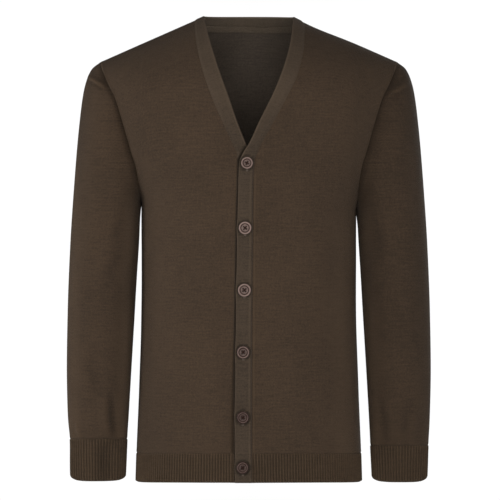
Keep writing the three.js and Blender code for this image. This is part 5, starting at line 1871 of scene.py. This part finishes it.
# %% The surround
world = bpy.data.worlds.new("white_surround")
world.use_nodes = True
sky = world.node_tree
direction = sky.nodes.new("ShaderNodeTexCoord")
split = sky.nodes.new("ShaderNodeSeparateXYZ")
sky.links.new(direction.outputs["Generated"], split.inputs[0])
wide = 0.0
for axis, sign, power, strength in ((0, -1.0, 1.0, 0.70), (0, 1.0, 1.0, 0.58), (1, -1.0, 2.0, 0.40)):
    towards = maths(sky, "MAXIMUM", maths(sky, "MULTIPLY", split.outputs[axis], sign), 0.0)
    glow = maths(sky, "MULTIPLY", maths(sky, "POWER", towards, power), strength)
    wide = maths(sky, "ADD", glow, wide)
card = sky.nodes.new("ShaderNodeMapRange")
card.interpolation_type = "SMOOTHSTEP"
for label, value in (("From Min", 0.984), ("From Max", 0.995), ("To Min", 0.0), ("To Max", 1.0)):
    card.inputs[label].default_value = value
sky.links.new(split.outputs[1], card.inputs["Value"])
sky.links.new(maths(sky, "ADD", card.outputs[0], wide), sky.nodes["Background"].inputs["Strength"])
sky.nodes["Background"].inputs["Color"].default_value = (1, 1, 1, 1)
bpy.context.scene.world = world


# %% The lamps
BODY_MIDDLE = (0, 0, -0.35)


def lamp(name, place, size, power):
    """A soft round lamp, turned to the middle of the garment. Sizes in metres, power in watts."""
    data = bpy.data.lights.new(name, "AREA")
    data.shape = "DISK"
    data.size = size
    data.energy = power
    light = put_in_scene(name, data)
    light.location = place
    to_body = Vector(BODY_MIDDLE) - Vector(place)
    light.rotation_euler = to_body.to_track_quat("-Z", "Y").to_euler()
    light.visible_camera = False


lamp("key_lamp", (-2.2, -0.9, -0.2), 1.0, 31.8)
lamp("front_lamp", (0.0, -1.6, -0.3), 0.8, 16.5)
lamp("fill_lamp", (2.4, -2.6, 0.1), 1.3, 30)
lamp("back_lamp", (1.2, 2.6, 0.3), 1.6, 26)
bpy.context.scene.view_settings.view_transform = "Standard"

# %% [markdown]
# ## Cloth facts
# The size that each piece of cloth was cut to is printed. The sizes are measured on the finished walls,
# because the folds and the curve of the body are in them.

# %% Sheets
def cut_size(piece):
    """Width and length of a piece from its cloth map, and its area from its wall's two faces."""
    layer = piece.data.uv_layers["cloth"]
    places = np.empty(2 * len(layer.data))
    layer.data.foreach_get("uv", places)
    places = places.reshape(-1, 2)
    width, length = (places.max(0) - places.min(0)) * MM
    areas = np.empty(len(piece.data.polygons))
    piece.data.polygons.foreach_get("area", areas)
    return float(width), float(length), float(areas.sum() / 2)


def declare(name, share=1.0):
    """Share is how much of the measured cloth the flat cut has: ribs are knitted narrower than they lie."""
    piece = bpy.data.objects[name]
    width, length, area = cut_size(piece)
    area = min(area * share, width * length)
    print(f"{name}: cut {1000 * width:.0f} x {1000 * length:.0f} mm, {1e4 * area:.0f} square centimetres")


declare("back_jersey")
for word, band_word in (("left", "buttonhole"), ("right", "button")):
    declare(f"front_{word}_jersey")
    declare(f"sleeve_{word}_jersey")
    declare(f"cuff_{word}_rib", 0.9)
    declare(f"hem_front_{word}_rib", 0.9)
    declare(f"{band_word}_band_knit")
declare("hem_back_rib", 0.9)
declare("back_neck_band_knit")
declare("back_neck_tape")
